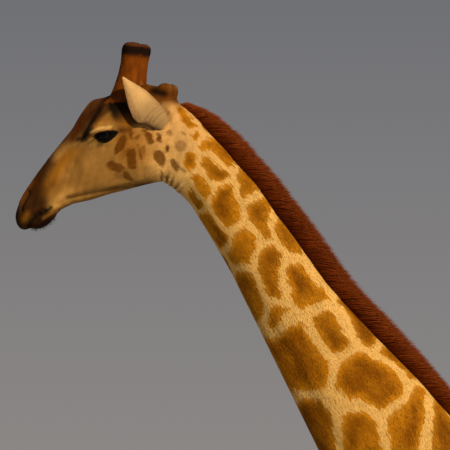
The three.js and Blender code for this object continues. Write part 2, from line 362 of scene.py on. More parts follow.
def ear_piece(side):
    """A thin, curled, leaf-shaped ear, closed all round, with its root inside the head."""
    root = EAR_ROOT * [1, side, 1]
    along = unit((EAR_TIP - EAR_ROOT) * [1, side, 1])
    across = unit(np.cross(EAR_OUTWARD * [1, side, 1], along))
    back = np.cross(along, across)
    # Distance from the root, thickness behind and before, width below and above, curl of the edges, sink.
    ribs = np.array([
        (-0.060, 0.010, 0.010, 0.012, 0.012, 0.000, 0.030),
        (-0.040, 0.018, 0.018, 0.026, 0.025, 0.000, 0.016),
        (-0.008, 0.022, 0.018, 0.044, 0.034, -0.006, 0.002),
        (0.014, 0.017, 0.012, 0.050, 0.040, -0.012, 0.000),
        (0.034, 0.013, 0.007, 0.070, 0.043, -0.018, 0.000),
        (0.060, 0.008, 0.003, 0.069, 0.043, -0.022, 0.000),
        (0.100, 0.005, 0.002, 0.053, 0.039, -0.021, 0.000),
        (0.140, 0.004, 0.002, 0.033, 0.025, -0.014, 0.000),
        (0.176, 0.003, 0.001, 0.014, 0.010, -0.005, 0.000),
        (0.195, 0.0015, 0.001, 0.003, 0.003, -0.001, 0.000),
    ])
    far = np.linspace(ribs[0, 0], ribs[-1, 0], EAR_RINGS)
    columns = [np.interp(far, ribs[:, 0], ribs[:, k]) for k in range(1, 7)]
    columns = [np.convolve(np.pad(v, 2, "edge"), np.ones(5) / 5, "valid") for v in columns]
    over, under, below, above, curl, sink = columns
    turn = np.linspace(0, 2 * math.pi, EAR_SPOKES, endpoint=False)
    wide, rise = np.cos(turn), np.sin(turn)
    points, faces = [], []
    for i in range(EAR_RINGS):
        half = np.where(wide * -side > 0, below[i], above[i])
        thick = np.where(rise > 0, over[i], under[i]) * rise
        height = thick + curl[i] * wide**2 - sink[i]
        height += ear_wrinkles(far[i], wide) * (rise > 0)
        points += [root + along * far[i] + across * w * r + back * h for w, r, h in zip(wide, half, height)]
    for i in range(EAR_RINGS - 1):
        a, b = i * EAR_SPOKES, (i + 1) * EAR_SPOKES
        for k in range(EAR_SPOKES):
            j = (k + 1) % EAR_SPOKES
            faces.append((a + k, a + j, b + j, b + k))
    faces.append(list(range(EAR_SPOKES)))
    faces.append(list(range((EAR_RINGS - 1) * EAR_SPOKES, EAR_RINGS * EAR_SPOKES)))
    piece = mesh_piece("ear", points, faces)
    face_outwards(piece)
    return piece


def ear_share(points):
    """Each point's place on the ear of its side: along it, across it and off its middle plane."""
    along = unit(EAR_TIP - EAR_ROOT)
    across = unit(np.cross(EAR_OUTWARD, along))
    back = np.cross(along, across)
    off = folded(points) - EAR_ROOT
    return off @ along, off @ across, off @ back


def skin_surface():
    """The whole skin before its folds, finer at the head, with the solids' surface for later use."""
    points, faces, labels = flesh_solids()
    labels = [part_of(x) for x in labels]
    outer = outer_faces(points, faces)
    tree = BVHTree.FromPolygons(points, [faces[k] for k in outer])
    labels = [labels[k] for k in outer]
    skin = mesh_piece("skin", points, faces)
    remesh(skin, VOXEL)
    mesh = skin.data
    points, edges = points_of(mesh), edges_of(mesh)
    parts = nearest_on(tree, points, labels)[2]
    softness = np.array([SOFTNESS.get(p, LEAST_SOFTNESS) for p in parts])[:, None]
    softness = smooth(edges, softness, 12, 0.8)[:, 0]
    weight = np.minimum(2 * softness**2 / VOXEL**2 / SOFTENING_STEPS, 0.9)
    points = smooth(edges, points, SOFTENING_STEPS, weight)
    set_points(mesh, points)
    refine(mesh, (points[:, 0] < FINE_HEAD[0]) & (points[:, 2] > FINE_HEAD[1]))
    points = points_of(mesh)
    far, up, _ = head_place(points).T
    eyes = np.linalg.norm(folded(points) - EYE, axis=1) < FINE_ROUND_EYE
    lips = (far < FINE_LIPS[0]) & (up < FINE_LIPS[1])
    refine(mesh, eyes | lips)
    points, edges = points_of(mesh), edges_of(mesh)
    place, side, parts = nearest_on(tree, points, labels)
    off = np.einsum("ij,ij->i", points - place, side)[:, None]
    off = smooth(edges, np.clip(off, -0.02, 0.02), 16, 0.8)
    points = points - normals_of(mesh) * (off + COAT_DEPTH)
    points = smooth(edges, points, 2, 0.5)
    set_points(mesh, points)
    return skin, tree, labels


# ---- Folds and forms of the skin: each is a path, its width and its height over the skin

MOUTH = [(0.025, -0.037), (0.057, -0.028), (0.082, -0.026), (0.111, -0.032), (0.140, -0.036)]
NOSTRIL = [(0.108, 0.060), (0.085, 0.048), (0.060, 0.034), (0.050, 0.022)]
HEAD_FORMS = [  # paths behind the snout and above the face line
    ([(0.425, 0.086), (0.487, 0.080), (0.540, 0.050)], 0.013, 0.008),  # brow over the eye
    ([(0.440, 0.078), (0.480, 0.066), (0.520, 0.046)], 0.006, 0.0035),  # fold of the upper lid
    ([(0.440, 0.030), (0.475, 0.000), (0.520, -0.004)], 0.008, 0.0025),  # bag under the eye
    ([(0.300, 0.020), (0.380, -0.008), (0.460, -0.035), (0.540, -0.050)], 0.022, 0.005),  # cheekbone
    ([(0.360, 0.070), (0.420, 0.070)], 0.020, -0.003),  # hollow before the eye
    ([(0.361, 0.090), (0.398, 0.084), (0.430, 0.074)], 0.005, -0.003),  # tear crease
    ([(0.400, 0.092), (0.439, 0.103), (0.500, 0.122)], 0.008, -0.003),  # between brow and forehead
    ([(0.425, -0.050), (0.405, -0.090), (0.440, -0.145)], 0.016, -0.003),  # front of the jaw muscle
    # crease along the lower jaw
    ([(0.215, -0.045), (0.300, -0.084), (0.360, -0.116), (0.425, -0.150), (0.500, -0.190)], 0.008, -0.004),
    (MOUTH, 0.0075, -0.0045),
    ([(0.035, -0.014), (0.075, -0.006), (0.120, -0.016)], 0.011, 0.004),  # upper lip
    ([(0.045, -0.050), (0.080, -0.052), (0.120, -0.058)], 0.011, 0.004),  # lower lip
    ([(0.150, -0.036), (0.190, -0.026)], 0.014, 0.003),  # corner of the mouth
    ([(0.070, -0.042), (0.104, -0.044), (0.140, -0.050)], 0.0045, -0.0022),  # crease of the lower lip
    ([(0.078, -0.062), (0.110, -0.064), (0.140, -0.064)], 0.0045, -0.0022),  # crease of the lower lip
    (NOSTRIL, 0.0070, -0.011),
    ([(0.125, 0.074), (0.095, 0.066), (0.060, 0.050)], 0.008, 0.005),  # upper rim of the nostril
    ([(0.095, 0.034), (0.066, 0.016)], 0.010, 0.003),  # lower rim of the nostril
    ([(0.645, 0.015), (0.650, -0.015), (0.640, -0.045)], 0.007, -0.005),  # crease under the ear
    ([(0.600, 0.060), (0.585, 0.030)], 0.020, -0.004),  # temple
]
FACE_END = 0.72  # how far behind the snout the face's forms reach
EYELID_BLEND = 0.005  # how softly the lids' dome over the eyeball runs out into the face
THROAT_LINE = [(-1.190, 0, 4.372), (-1.150, 0, 4.364), (-1.120, 0, 4.345), (-1.095, 0, 4.312)]
THROAT_LENGTH = 0.118
THROAT_FOLD = 0.021  # from one fold of the throat to the next
CREST = [(-1.117, 0, 4.650), (-1.046, 0, 4.600), (-0.969, 0, 4.531), (-0.826, 0, 4.375), (-0.700, 0, 4.215)]
CREST_RISE = 0.017  # how far the crest of the upper neck stands up into the mane
BODY_FORMS = [  # paths in x and z
    ([(-1.06, 4.33), (-0.90, 4.07), (-0.66, 3.68), (-0.46, 3.34)], 0.030, -0.007),  # furrow of the windpipe
    ([(-1.00, 4.44), (-0.80, 4.19), (-0.52, 3.80), (-0.28, 3.48)], 0.045, -0.005),  # side of the neck
    ([(-0.10, 3.00), (-0.02, 2.70), (0.08, 2.40)], 0.060, -0.010),  # before the shoulder
    ([(0.34, 3.02), (0.26, 2.72), (0.20, 2.46)], 0.030, 0.008),  # spine of the shoulder blade
    ([(0.42, 2.90), (0.40, 2.60), (0.36, 2.30)], 0.050, -0.010),  # behind the shoulder
    ([(1.10, 2.42), (1.06, 2.22)], 0.060, -0.010),  # flank
    ([(1.44, 2.50), (1.40, 2.20), (1.34, 1.90)], 0.040, -0.006),  # thigh
]
RIBS = 9


def throat_folds(points):
    """The small folds where the throat meets the jaw: 1 on a ridge, -1 in a crease, 0 away from them."""
    far, along = along_line(THROAT_LINE, points * [1, 0, 1])[:2]
    ends = ramp(along, 0.0, 0.02) * ramp(THROAT_LENGTH - along, 0.0, 0.03)
    return -np.cos((along - 0.041) * 2 * math.pi / THROAT_FOLD) * bump(far, 0.026) * ends


def over_eyeballs(points):
    """The points near each eye pushed out to a dome of lids over its eyeball."""
    off = points - on_own_side(points, EYE)
    distance = np.linalg.norm(off, axis=1)
    dome = EYE_RADIUS + LID
    near = (distance < dome + 3 * EYELID_BLEND) & (np.abs(points[:, 1]) > 0.06)
    above = np.clip((distance - dome) / EYELID_BLEND, -30, 30)
    soft = dome + EYELID_BLEND * np.log1p(np.exp(above))
    points[near] += (off / distance[:, None] * np.maximum(soft - distance, 0)[:, None])[near]
    return points


def sculpt(points, normals, edges, parts):
    """The skin's points with folds and forms pressed in or raised."""
    place = head_place(points)
    sideways = ramp(np.abs(normals[:, 1]), 0.15, 0.5)
    on_face = of_head(parts) & (place[:, 0] < FACE_END)
    lift = np.zeros(len(points))
    for path, width, height in HEAD_FORMS:
        lift += height * bump(path_distance(place[:, :2], path), width) * sideways * on_face
    flat = points[:, [0, 2]]
    for path, width, height in BODY_FORMS:
        lift += height * bump(path_distance(flat, path), width) * sideways * ~on_face
    lift += 0.007 * throat_folds(points)
    far, along = along_line(CREST, points)[:2]
    lift += CREST_RISE * bump(far, 0.045) * ramp(along, -0.01, 0.05) * ramp(0.58 - along, 0.0, 0.15)
    for k in range(RIBS):
        top = np.array([0.50 + 0.062 * k, 2.78 - 0.030 * k])
        foot = np.array([0.42 + 0.060 * k, 2.12 + 0.010 * k])
        lift += 0.003 * bump(segment_distance(flat, top, foot), 0.016) * sideways * (parts == "trunk")
    return over_eyeballs(points + normals * smooth(edges, lift[:, None], 2, 0.6))


def lid_line(share):
    """The edges of the open eye, from its front corner to the back: how far back, lower lid and upper lid."""
    arch = np.sin(math.pi * share)
    back = -0.0240 + 0.0505 * share
    level = -0.005 + 0.008 * share
    return back, level - 0.0180 * arch**0.75, level + 0.0125 * arch**0.45


def eye_cutter(side):
    """A cone from the middle of the eyeball through the outline of the open eye."""
    share = np.linspace(0, 1, 24)
    back, lower, upper = lid_line(share)
    outline = list(zip(back, upper)) + list(zip(back[-2:0:-1], lower[-2:0:-1]))
    points = []
    for scale in (0.55, 1.9):
        for a, b in outline:
            out = math.sqrt(EYE_RADIUS**2 - a * a - b * b)
            points.append(EYE * [1, side, 1] + scale * np.array([a, side * out, b]))
    for scale in (0.55, 1.9):
        points.append(EYE * [1, side, 1] + scale * np.array([0.001, side * EYE_RADIUS, -0.002]))
    count = len(outline)
    faces = []
    for k in range(count):
        j = (k + 1) % count
        faces += [(k, j, count + j), (k, count + j, count + k), (j, k, 2 * count)]
        faces.append((count + k, count + j, 2 * count + 1))
    piece = mesh_piece("plug", points, faces)
    face_outwards(piece)
    return piece


def eye_place(points):
    """Each point's place beside the eye on its side: behind it, above it and further out."""
    return folded(points) - EYE


def off_eye(points):
    """How far each point is from the open part of the eye, less than 0 inside."""
    back, _, up = eye_place(points).T
    edge_back, lower, upper = lid_line(np.linspace(0, 1, 16))
    outline = list(zip(edge_back, upper)) + list(zip(edge_back[::-1], lower[::-1]))
    share = np.clip((back - edge_back[0]) / (edge_back[-1] - edge_back[0]), 0, 1)
    _, low, high = lid_line(share)
    inside = (up > low) & (up < high)
    distance = path_distance(np.stack([back, up], 1), outline)
    return np.where(inside, -distance, distance)


def make_skin():
    """The whole skin with its folds, ears and open eyes, and the surfaces its points are named after."""
    skin, tree, labels = skin_surface()
    mesh = skin.data
    points, edges = points_of(mesh), edges_of(mesh)
    parts = nearest_on(tree, points, labels)[2]
    lips = bump(path_distance(head_place(points)[:, :2], MOUTH), 0.020) * of_head(parts)
    set_points(mesh, smooth(edges, points, 12, 0.7 * lips))
    points = sculpt(points_of(mesh), normals_of(mesh), edges, parts)
    set_points(mesh, smooth(edges, points, 2, 0.5 * lips))
    ear_trees = []
    for side in SIDES.values():
        ear = ear_piece(side)
        ear_trees.append(BVHTree.FromPolygons(points_of(ear.data).tolist(), triangles_of(ear.data).tolist()))
        combine(skin, ear, "UNION")
        combine(skin, eye_cutter(side), "DIFFERENCE")
    shade_smooth(skin)
    return skin, tree, labels, ear_trees


skin, solid_tree, solid_labels, ear_trees = make_skin()
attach(skin, "root")
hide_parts(*FLESH, "ear_left", "ear_right")

# ---- Markings: brown patches with pale lines between them, and the head's paint, which also holds painted shade, shadow and highlights


def paint(red, green, blue):
    """A colour of 0 to 255 as the renderer's linear numbers."""
    value = np.array([red, green, blue]) / 255
    return np.where(value <= 0.04045, value / 12.92, ((value + 0.055) / 1.055) ** 2.4)


# Patches of the neck's near side: two places (x, z) that each lies along, and its half-width.
NECK_PATCHES = [
    (-1.095, 4.622, -1.050, 4.572, 0.015),
    (-1.018, 4.577, -0.975, 4.540, 0.011),
    (-1.041, 4.534, -1.039, 4.526, 0.013),
    (-0.985, 4.500, -0.918, 4.445, 0.030),
    (-1.042, 4.442, -1.040, 4.412, 0.021),
    (-0.985, 4.440, -0.945, 4.392, 0.024),
    (-0.862, 4.400, -0.842, 4.335, 0.033),
    (-1.020, 4.376, -1.000, 4.330, 0.027),
    (-1.045, 4.322, -1.022, 4.280, 0.018),
    (-1.000, 4.228, -0.945, 4.160, 0.030),
    (-0.920, 4.305, -0.897, 4.237, 0.042),
    (-0.800, 4.262, -0.775, 4.178, 0.042),
    (-0.837, 4.152, -0.860, 4.085, 0.046),
    (-0.712, 4.198, -0.645, 4.110, 0.042),
    (-0.755, 4.080, -0.730, 3.975, 0.040),
    (-0.650, 4.020, -0.578, 3.955, 0.058),
    (-0.585, 4.075, -0.515, 3.985, 0.028),
    (-0.860, 4.008, -0.792, 3.898, 0.042),
    (-0.736, 3.865, -0.730, 3.855, 0.052),
    (-0.690, 3.765, -0.605, 3.665, 0.088),
    (-0.540, 3.860, -0.495, 3.770, 0.046),
    (-0.485, 3.915, -0.380, 3.790, 0.036),
    (-0.425, 3.655, -0.315, 3.612, 0.082),
    (-0.315, 3.730, -0.230, 3.650, 0.030),
    (-0.198, 3.575, -0.238, 3.430, 0.060),
    (-0.125, 3.550, -0.088, 3.388, 0.055),
    (-0.506, 3.562, -0.503, 3.558, 0.009),
    (-0.598, 3.518, -0.560, 3.395, 0.068),
    (-0.410, 3.458, -0.393, 3.360, 0.066),
]

# Spots of the face: two places (behind the snout, above the face line), half-width and strength.
FACE_SPOTS = [
    (0.568, 0.006, 0.553, -0.025, 0.010, 0.90),
    (0.562, -0.037, 0.575, -0.038, 0.008, 0.70),
    (0.524, -0.014, 0.479, -0.036, 0.016, 0.95),
    (0.518, -0.066, 0.490, -0.109, 0.019, 0.95),
    (0.555, -0.066, 0.530, -0.113, 0.004, 1.00),
    (0.561, -0.083, 0.549, -0.104, 0.007, 0.60),
    (0.605, -0.046, 0.598, -0.082, 0.014, 0.95),
    (0.636, -0.072, 0.625, -0.105, 0.008, 0.95),
    (0.634, -0.128, 0.627, -0.144, 0.009, 1.00),
    (0.589, -0.130, 0.583, -0.164, 0.020, 0.90),
    (0.617, -0.190, 0.611, -0.214, 0.013, 0.85),
    (0.421, -0.058, 0.447, -0.088, 0.019, 0.85),
    (0.448, -0.109, 0.447, -0.132, 0.012, 0.80),
    (0.667, -0.094, 0.670, -0.100, 0.008, 0.45),
    (0.709, -0.128, 0.711, -0.134, 0.008, 0.45),
    (0.676, -0.155, 0.678, -0.162, 0.020, 0.45),
    (0.554, -0.196, 0.550, -0.211, 0.007, 0.60),
]
HAND_PLACED = (0.76, -0.34)  # before this and above this on the head, no random patches are added
FACE_PAINTED = (0.74, -0.30)  # before this and above this, the face's paint and spots apply past the head too
ONLY_SPOTS = 0.60  # before this, the head has spots but no patches
OTHER_SIDE = np.array([0.030, 0, -0.035])  # how the right side's patches are shifted from the left's
PATCH_ROOM = 0.030  # what random patches keep clear round a placed one
PATCH_TRIES = 14000
PATCH_NEIGHBOURS = 14  # how many patches each point is measured from
NO_PATCH = -0.05  # the depth where no patch may be
FACE_SPOT_EDGE = 0.45  # a spot's border is softer than a patch's

# How far apart patches lie on each part, and half the width of the pale lines between them.
SPACING = {"neck": 0.190, "trunk": 0.200, "upper_leg": 0.125, "lower_leg": 0.064, "tail": 0.060}
LINE = {"neck": 0.0172, "trunk": 0.0170, "upper_leg": 0.011, "lower_leg": 0.007, "tail": 0.008}
NET = paint(224, 177, 98)
NAPE = paint(208, 160, 96)  # the paler coat behind the ears
NAPE_MIDDLE = np.array([-1.10, 0, 4.56])
NAPE_WIDTH = 0.17
BELLY = paint(234, 200, 146)
# painted shade for the creases of the throat's folds
CREASE_SHADE = paint(64, 38, 14)
FACE_FRAY = 0.25  # how much the borders of the face's spots break up, where 1 is the body's
RIM = paint(184, 119, 15)
CENTRE = paint(134, 78, 3)
SPOT = paint(104, 59, 5)


def near_surface(tree, x, z, side):
    """The place on the skin beside (x, z) on one side, or the nearest one past the outline."""
    spot = tree.ray_cast(Vector((x, side * 2.0, z)), Vector((0, -side, 0)))[0]
    return np.array(spot if spot else tree.find_nearest(Vector((x, side * 0.03, z)))[0])


def patch_reach(size):
    """How far a placed patch may spread from its line, less for a small one."""
    return 1.22 * size if size < 0.03 else 1.6 * size


def patch_seeds(points, parts, tree):
    """Where each patch lies: two ends, half-width and furthest reach."""
    rng = np.random.default_rng(5)
    ends, sizes, reach = [], [], []
    for x1, z1, x2, z2, size in NECK_PATCHES:
        ends.append((near_surface(tree, x1, z1, -1), near_surface(tree, x2, z2, -1)))
        sizes.append(size)
        reach.append(patch_reach(size))
        shift = OTHER_SIDE + rng.normal(0, 0.010, 3)
        a, b = np.array([x1, 0, z1]) + shift, np.array([x2, 0, z2]) + shift
        ends.append((near_surface(tree, a[0], a[2], 1), near_surface(tree, b[0], b[2], 1)))
        sizes.append(size * rng.uniform(0.85, 1.1))
        reach.append(patch_reach(size))
    gap = np.array([SPACING.get(p, 0.0) for p in parts])
    gap = gap * np.where(parts == "lower_leg", 0.75 + 0.35 * ramp(points[:, 2], 0.2, 1.1), 1.0)
    gap = gap * np.where(parts == "upper_leg", 0.62 + 0.55 * ramp(points[:, 2], 1.1, 2.2), 1.0)
    gap = gap * np.where(parts == "neck", 0.55 + 0.45 * ramp(points[:, 0], -0.95, -0.35), 1.0)
    place = head_place(points)
    gap[(place[:, 0] < HAND_PLACED[0]) & (place[:, 1] > HAND_PLACED[1])] = 0
    places = [np.mean(e, axis=0) for e in ends]
    rooms = [s + PATCH_ROOM for s in sizes]
    for i in rng.permutation(np.flatnonzero(gap > 0))[:PATCH_TRIES]:
        away = np.linalg.norm(np.array(places) - points[i], axis=1)
        if np.all(away > np.maximum(np.array(rooms) + 0.40 * gap[i], 0.80 * gap[i])):
            places.append(points[i])
            rooms.append(0.40 * gap[i])
            half = 0.16 * gap[i] * unit(rng.normal(0, 1, 3))
            ends.append((points[i] - half, points[i] + half))
            sizes.append(0.30 * gap[i] * rng.uniform(0.8, 1.2))
            reach.append(gap[i])
    ends = np.array(ends)
    return ends[:, 0], ends[:, 1], np.array(sizes), np.array(reach)


def wobble(points, scale, seed):
    """Three smooth random numbers for each point, from -1 to 1, that change over the scale."""
    rng = np.random.default_rng(seed)
    total = np.zeros((len(points), 3))
    for _ in range(6):
        turn = rng.normal(0, 1, (3, 3)) * 2.2 / scale
        shift = rng.uniform(0, 2 * math.pi, 3)
        total += np.sin(points @ turn + shift)
    return total / 3.2


def patch_edges(points, parts, tree):
    """Each point's depth inside its patch, less than 0 on the pale lines, and the patch's size and tone."""
    start, finish, size, reach = patch_seeds(points, parts, tree)
    line = np.array([LINE.get(p, 0.010) for p in parts])
    line = line * np.where(parts == "neck", 0.55 + 0.45 * ramp(points[:, 0], -1.05, -0.45), 1.0)
    moved = points + 0.008 * wobble(points, 0.055, 31) + 0.003 * wobble(points, 0.018, 32)
    finder = KDTree(3 * len(start))
    for k, (a, b) in enumerate(zip(start, finish)):
        for place in (a, (a + b) / 2, b):
            finder.insert(place, k)
    finder.balance()
    near = np.array([[found[1] for found in finder.find_n(p, PATCH_NEIGHBOURS)] for p in moved])
    step = finish - start
    square = np.maximum(np.einsum("ij,ij->i", step, step), 1e-10)
    off = moved[:, None] - start[near]
    t = np.clip(np.einsum("ijk,ijk->ij", off, step[near]) / square[near], 0, 1)
    distance = np.linalg.norm(off - t[..., None] * step[near], axis=2)
    rank = distance - size[near]
    rows = np.arange(len(points))
    first = np.argmin(rank, axis=1)
    owner = near[rows, first]
    others = np.where(near == owner[:, None], np.inf, rank)
    gap = others.min(axis=1) - rank[rows, first]
    depth = np.minimum(gap / 2 - line, reach[owner] - distance[rows, first])
    tone = np.random.default_rng(6).uniform(-1, 1, len(start))[owner]
    return depth, size[owner], tone


FACE = paint(168, 124, 60)
MUZZLE = paint(34, 15, 4)
WHOLE_WIDTH = (0.0, 0.20)  # how far out from the middle of the head a stroke starts and stops
OFF_MIDDLE = (0.05, 0.20)
PAST_BRIDGE = (0.02, 0.20)
# Strokes on the head: path, width, colour, strength (past 1 the stroke's middle is flat), and where it starts
# and stops out from the middle, if that isn't the whole width.
FACE_PAINT = [
    # cheek and side of the nose
    ([(0.30, -0.050), (0.42, -0.100)], 0.040, (140, 98, 42), 0.55),
    ([(0.52, -0.090), (0.58, -0.120)], 0.050, (182, 134, 66), 0.60),
    ([(0.40, 0.020), (0.45, -0.020)], 0.024, (150, 108, 50), 0.50),
    ([(0.33, 0.030), (0.36, 0.050)], 0.024, (118, 74, 20), 0.60),
    ([(0.27, -0.020), (0.31, -0.010)], 0.024, (126, 84, 34), 0.40),
    ([(0.20, 0.038), (0.25, 0.062), (0.32, 0.080)], 0.027, (164, 104, 18), 0.85),
    # top of the nose and forehead
    ([(0.14, 0.100), (0.30, 0.142), (0.42, 0.150)], 0.036, (88, 44, 6), 0.95),
    ([(0.36, 0.120), (0.42, 0.130), (0.47, 0.140)], 0.028, (84, 41, 6), 0.95),
    ([(0.41, 0.150), (0.53, 0.185)], 0.044, (88, 42, 8), 0.95),
    ([(0.485, 0.128), (0.540, 0.150)], 0.036, (58, 27, 5), 1.00),
    ([(0.600, 0.130), (0.660, 0.105), (0.715, 0.080)], 0.036, (96, 50, 8), 1.30),
    # muzzle, mouth and lips
    ([(0.16, 0.020), (0.20, 0.026)], 0.022, (92, 54, 10), 0.70),
    ([(0.060, 0.010), (0.110, 0.012)], 0.018, (54, 28, 7), 0.60),
    ([(0.10, 0.050), (0.17, 0.076), (0.23, 0.100)], 0.026, (58, 30, 6), 0.90),
    # painted highlight along the upper rim of the nostril
    ([(0.135, 0.088), (0.085, 0.070), (0.060, 0.056)], 0.014, (124, 68, 10), 0.55),
    ([(0.038, -0.012), (0.060, -0.006)], 0.012, (120, 76, 16), 0.80, (0.012, 0.20)),
    ([(0.090, -0.010), (0.130, -0.010)], 0.014, (62, 33, 7), 0.80),
    ([(0.150, -0.036), (0.190, -0.028), (0.235, -0.032)], 0.015, (194, 146, 74), 0.90),
    ([(0.180, -0.004), (0.240, 0.006)], 0.018, (138, 92, 32), 0.60),
    ([(0.040, -0.056), (0.080, -0.060), (0.130, -0.068)], 0.020, (40, 20, 6), 0.95),
    ([(0.100, -0.050), (0.150, -0.054)], 0.006, (130, 84, 24), 0.70),
    (MOUTH, 0.005, (18, 9, 4), 0.95),
    # under the jaw: painted shade in the crease along the lower jaw, and a paler line below it
    ([(0.215, -0.045), (0.300, -0.086), (0.360, -0.118), (0.425, -0.152), (0.500, -0.192)], 0.006,
     (58, 33, 10), 0.85),
    ([(0.250, -0.078), (0.360, -0.132), (0.440, -0.172)], 0.007, (160, 116, 56), 0.70),
    # brow, a painted highlight along the fold of the upper lid, and the creases before the eye
    ([(0.450, 0.086), (0.500, 0.084), (0.545, 0.066)], 0.022, (158, 108, 42), 1.00, OFF_MIDDLE),
    ([(0.440, 0.080), (0.475, 0.070), (0.515, 0.048)], 0.005, (224, 178, 106), 0.90, OFF_MIDDLE),
    ([(0.470, 0.108), (0.510, 0.112), (0.560, 0.112)], 0.017, (92, 50, 10), 0.92, PAST_BRIDGE),
    ([(0.512, 0.132), (0.467, 0.114), (0.440, 0.104), (0.412, 0.094)], 0.013, (28, 13, 4), 1.00, PAST_BRIDGE),
    ([(0.452, 0.088), (0.425, 0.084), (0.400, 0.088), (0.376, 0.098)], 0.009, (30, 15, 6), 0.95, PAST_BRIDGE),
    # painted shadow: the ear's cast shadow on the head before the ear, and the shade at the root of the
    # ossicone
    ([(0.582, 0.118), (0.573, 0.075), (0.580, 0.045)], 0.026, (18, 9, 4), 3.00, OFF_MIDDLE),
    ([(0.580, 0.045), (0.620, 0.016)], 0.018, (18, 9, 4), 3.00, OFF_MIDDLE),
    ([(0.570, 0.135), (0.640, 0.112)], 0.028, (26, 14, 6), 1.00, (0.03, 0.20)),
    # the browner coat behind the eye
    ([(0.555, 0.018), (0.525, -0.012), (0.500, -0.060)], 0.034, (138, 87, 22), 0.90, OFF_MIDDLE),
    ([(0.560, -0.045), (0.540, -0.100)], 0.040, (146, 96, 32), 0.75, OFF_MIDDLE),
    ([(0.598, -0.030), (0.612, -0.060)], 0.022, (150, 100, 36), 0.60, OFF_MIDDLE),
    ([(0.535, 0.018), (0.550, 0.006)], 0.012, (76, 44, 12), 0.90, OFF_MIDDLE),
    # between the ossicones, painted shade in the dip; the dark knob behind them, with painted shade on its
    # front
    ([(0.541, 0.150), (0.562, 0.150)], 0.012, (46, 24, 9), 0.85, (0.0, 0.06)),
    ([(0.722, 0.056), (0.780, 0.026)], 0.048, (104, 58, 12), 1.60, (0.0, 0.09)),
    ([(0.708, 0.070), (0.722, 0.052), (0.738, 0.034)], 0.014, (30, 15, 5), 1.00, (0.0, 0.09)),
    # throat, root of the ear and corner of the jaw: the pale stroke on the side of the throat is painted
    # light, and the dark line under the ear is painted shade in its crease
    ([(0.570, -0.190), (0.600, -0.250)], 0.045, (232, 184, 108), 0.90),
    ([(0.628, -0.008), (0.630, -0.030), (0.634, -0.050)], 0.005, (50, 28, 11), 0.90, OFF_MIDDLE),
    ([(0.649, -0.039), (0.683, -0.042), (0.713, -0.032)], 0.004, (112, 76, 38), 0.60, (0.04, 0.20)),
    ([(0.627, -0.200), (0.626, -0.226), (0.635, -0.246)], 0.004, (84, 50, 16), 0.80),
]
# dark lids and lashes, with painted shade under the brow
EYE_DARK_AND_SHADE = paint(14, 9, 7)
EAR_COLOUR = paint(214, 172, 112)
EAR_INSIDE = paint(206, 160, 104)
OSSICONE_COLOUR = paint(118, 60, 6)
OSSICONE_RIM = paint(26, 14, 7)
OSSICONE_CROWN = paint(92, 50, 22)


def eye_dark_and_shade_share(points):
    """The dark skin and lashes round the eye, with painted shade under the brow and lashes: a long almond
    with a nearly straight upper edge.
    """
    back, _, up = eye_place(points).T
    share = np.clip((back + 0.047) / 0.099, 0, 1)
    arch = np.sin(math.pi * share)
    level = -0.006 + 0.015 * share
    inside = np.minimum(level + 0.0160 * arch**0.4 - up, up - (level - 0.031 * arch**0.9))
    return ramp(inside, -0.0005, 0.0025) * (points[:, 2] > 4.4)


def ossicone_share(points):
    """How far up its ossicone each point is, 0 at the skull and 1 at the crown."""
    along = OSSICONE_TOP - OSSICONE_ROOT
    return (folded(points) - OSSICONE_ROOT) @ along / (along @ along)


def face_paint(points, colours):
    """The head's colours, brushed over the ground in soft strokes, some of them painted shade, shadow and
    highlights.
    """
    place = head_place(points)
    here = ramp(0.82 - place[:, 0], 0.0, 0.06) * (place[:, 2] < 0.22)
    mottle = 1 + 0.10 * wobble(points, 0.022, 43)[:, :1] + 0.06 * wobble(points, 0.009, 44)[:, :1]
    pale = (ramp(0.64 - place[:, 0], 0.0, 0.14) * ramp(0.10 - place[:, 1], 0.0, 0.02))[:, None]
    colours = (colours + pale * (FACE - colours)) * mottle
    streaks = wobble(place * [9, 55, 20], 1.0, 46)[:, 0]
    dusk = ramp(0.150 + 0.7 * np.maximum(place[:, 1], 0) - place[:, 0] + 0.012 * streaks, -0.030, 0.030)
    colours = colours + (0.96 * dusk * here)[:, None] * (MUZZLE * mottle - colours)
    for path, width, colour, strength, *limits in FACE_PAINT:
        inner, outer = limits[0] if limits else WHOLE_WIDTH
        stroke = bump(path_distance(place[:, :2], path), width) ** 0.8
        share = np.minimum(strength * stroke, 1) * here
        share *= ramp(place[:, 2], inner - 0.015, inner) if inner > 0 else 1
        share *= ramp(outer + 0.02 - place[:, 2], 0, 0.02)
        colours = colours + share[:, None] * (paint(*colour) * mottle - colours)
    # dark lids and lashes round the eye, with painted shade under the brow
    return colours + eye_dark_and_shade_share(points)[:, None] * (EYE_DARK_AND_SHADE - colours)


def face_spots(points, place):
    """How deep each point lies inside a spot of the face, and how strong that spot is."""
    deep, strength = np.full(len(points), NO_PATCH), np.zeros(len(points))
    for far1, up1, far2, up2, half, strong in FACE_SPOTS:
        middle = np.array([far1 + far2, up1 + up2]) / 2
        half_length = math.hypot(far2 - far1, up2 - up1) / 2 + half
        along = unit(np.array([far2 - far1, up2 - up1]))
        off = place[:, :2] - middle
        reach = np.hypot(off @ along / half_length, (off @ [-along[1], along[0]]) / half)
        inside = half * (1 - reach)
        strength = np.where(inside > deep, strong, strength)
        deep = np.maximum(deep, inside)
    deep = deep + 0.002 * wobble(points, 0.016, 45)[:, 0]
    return np.where(place[:, 2] > 0.04, FACE_SPOT_EDGE * deep, NO_PATCH), strength


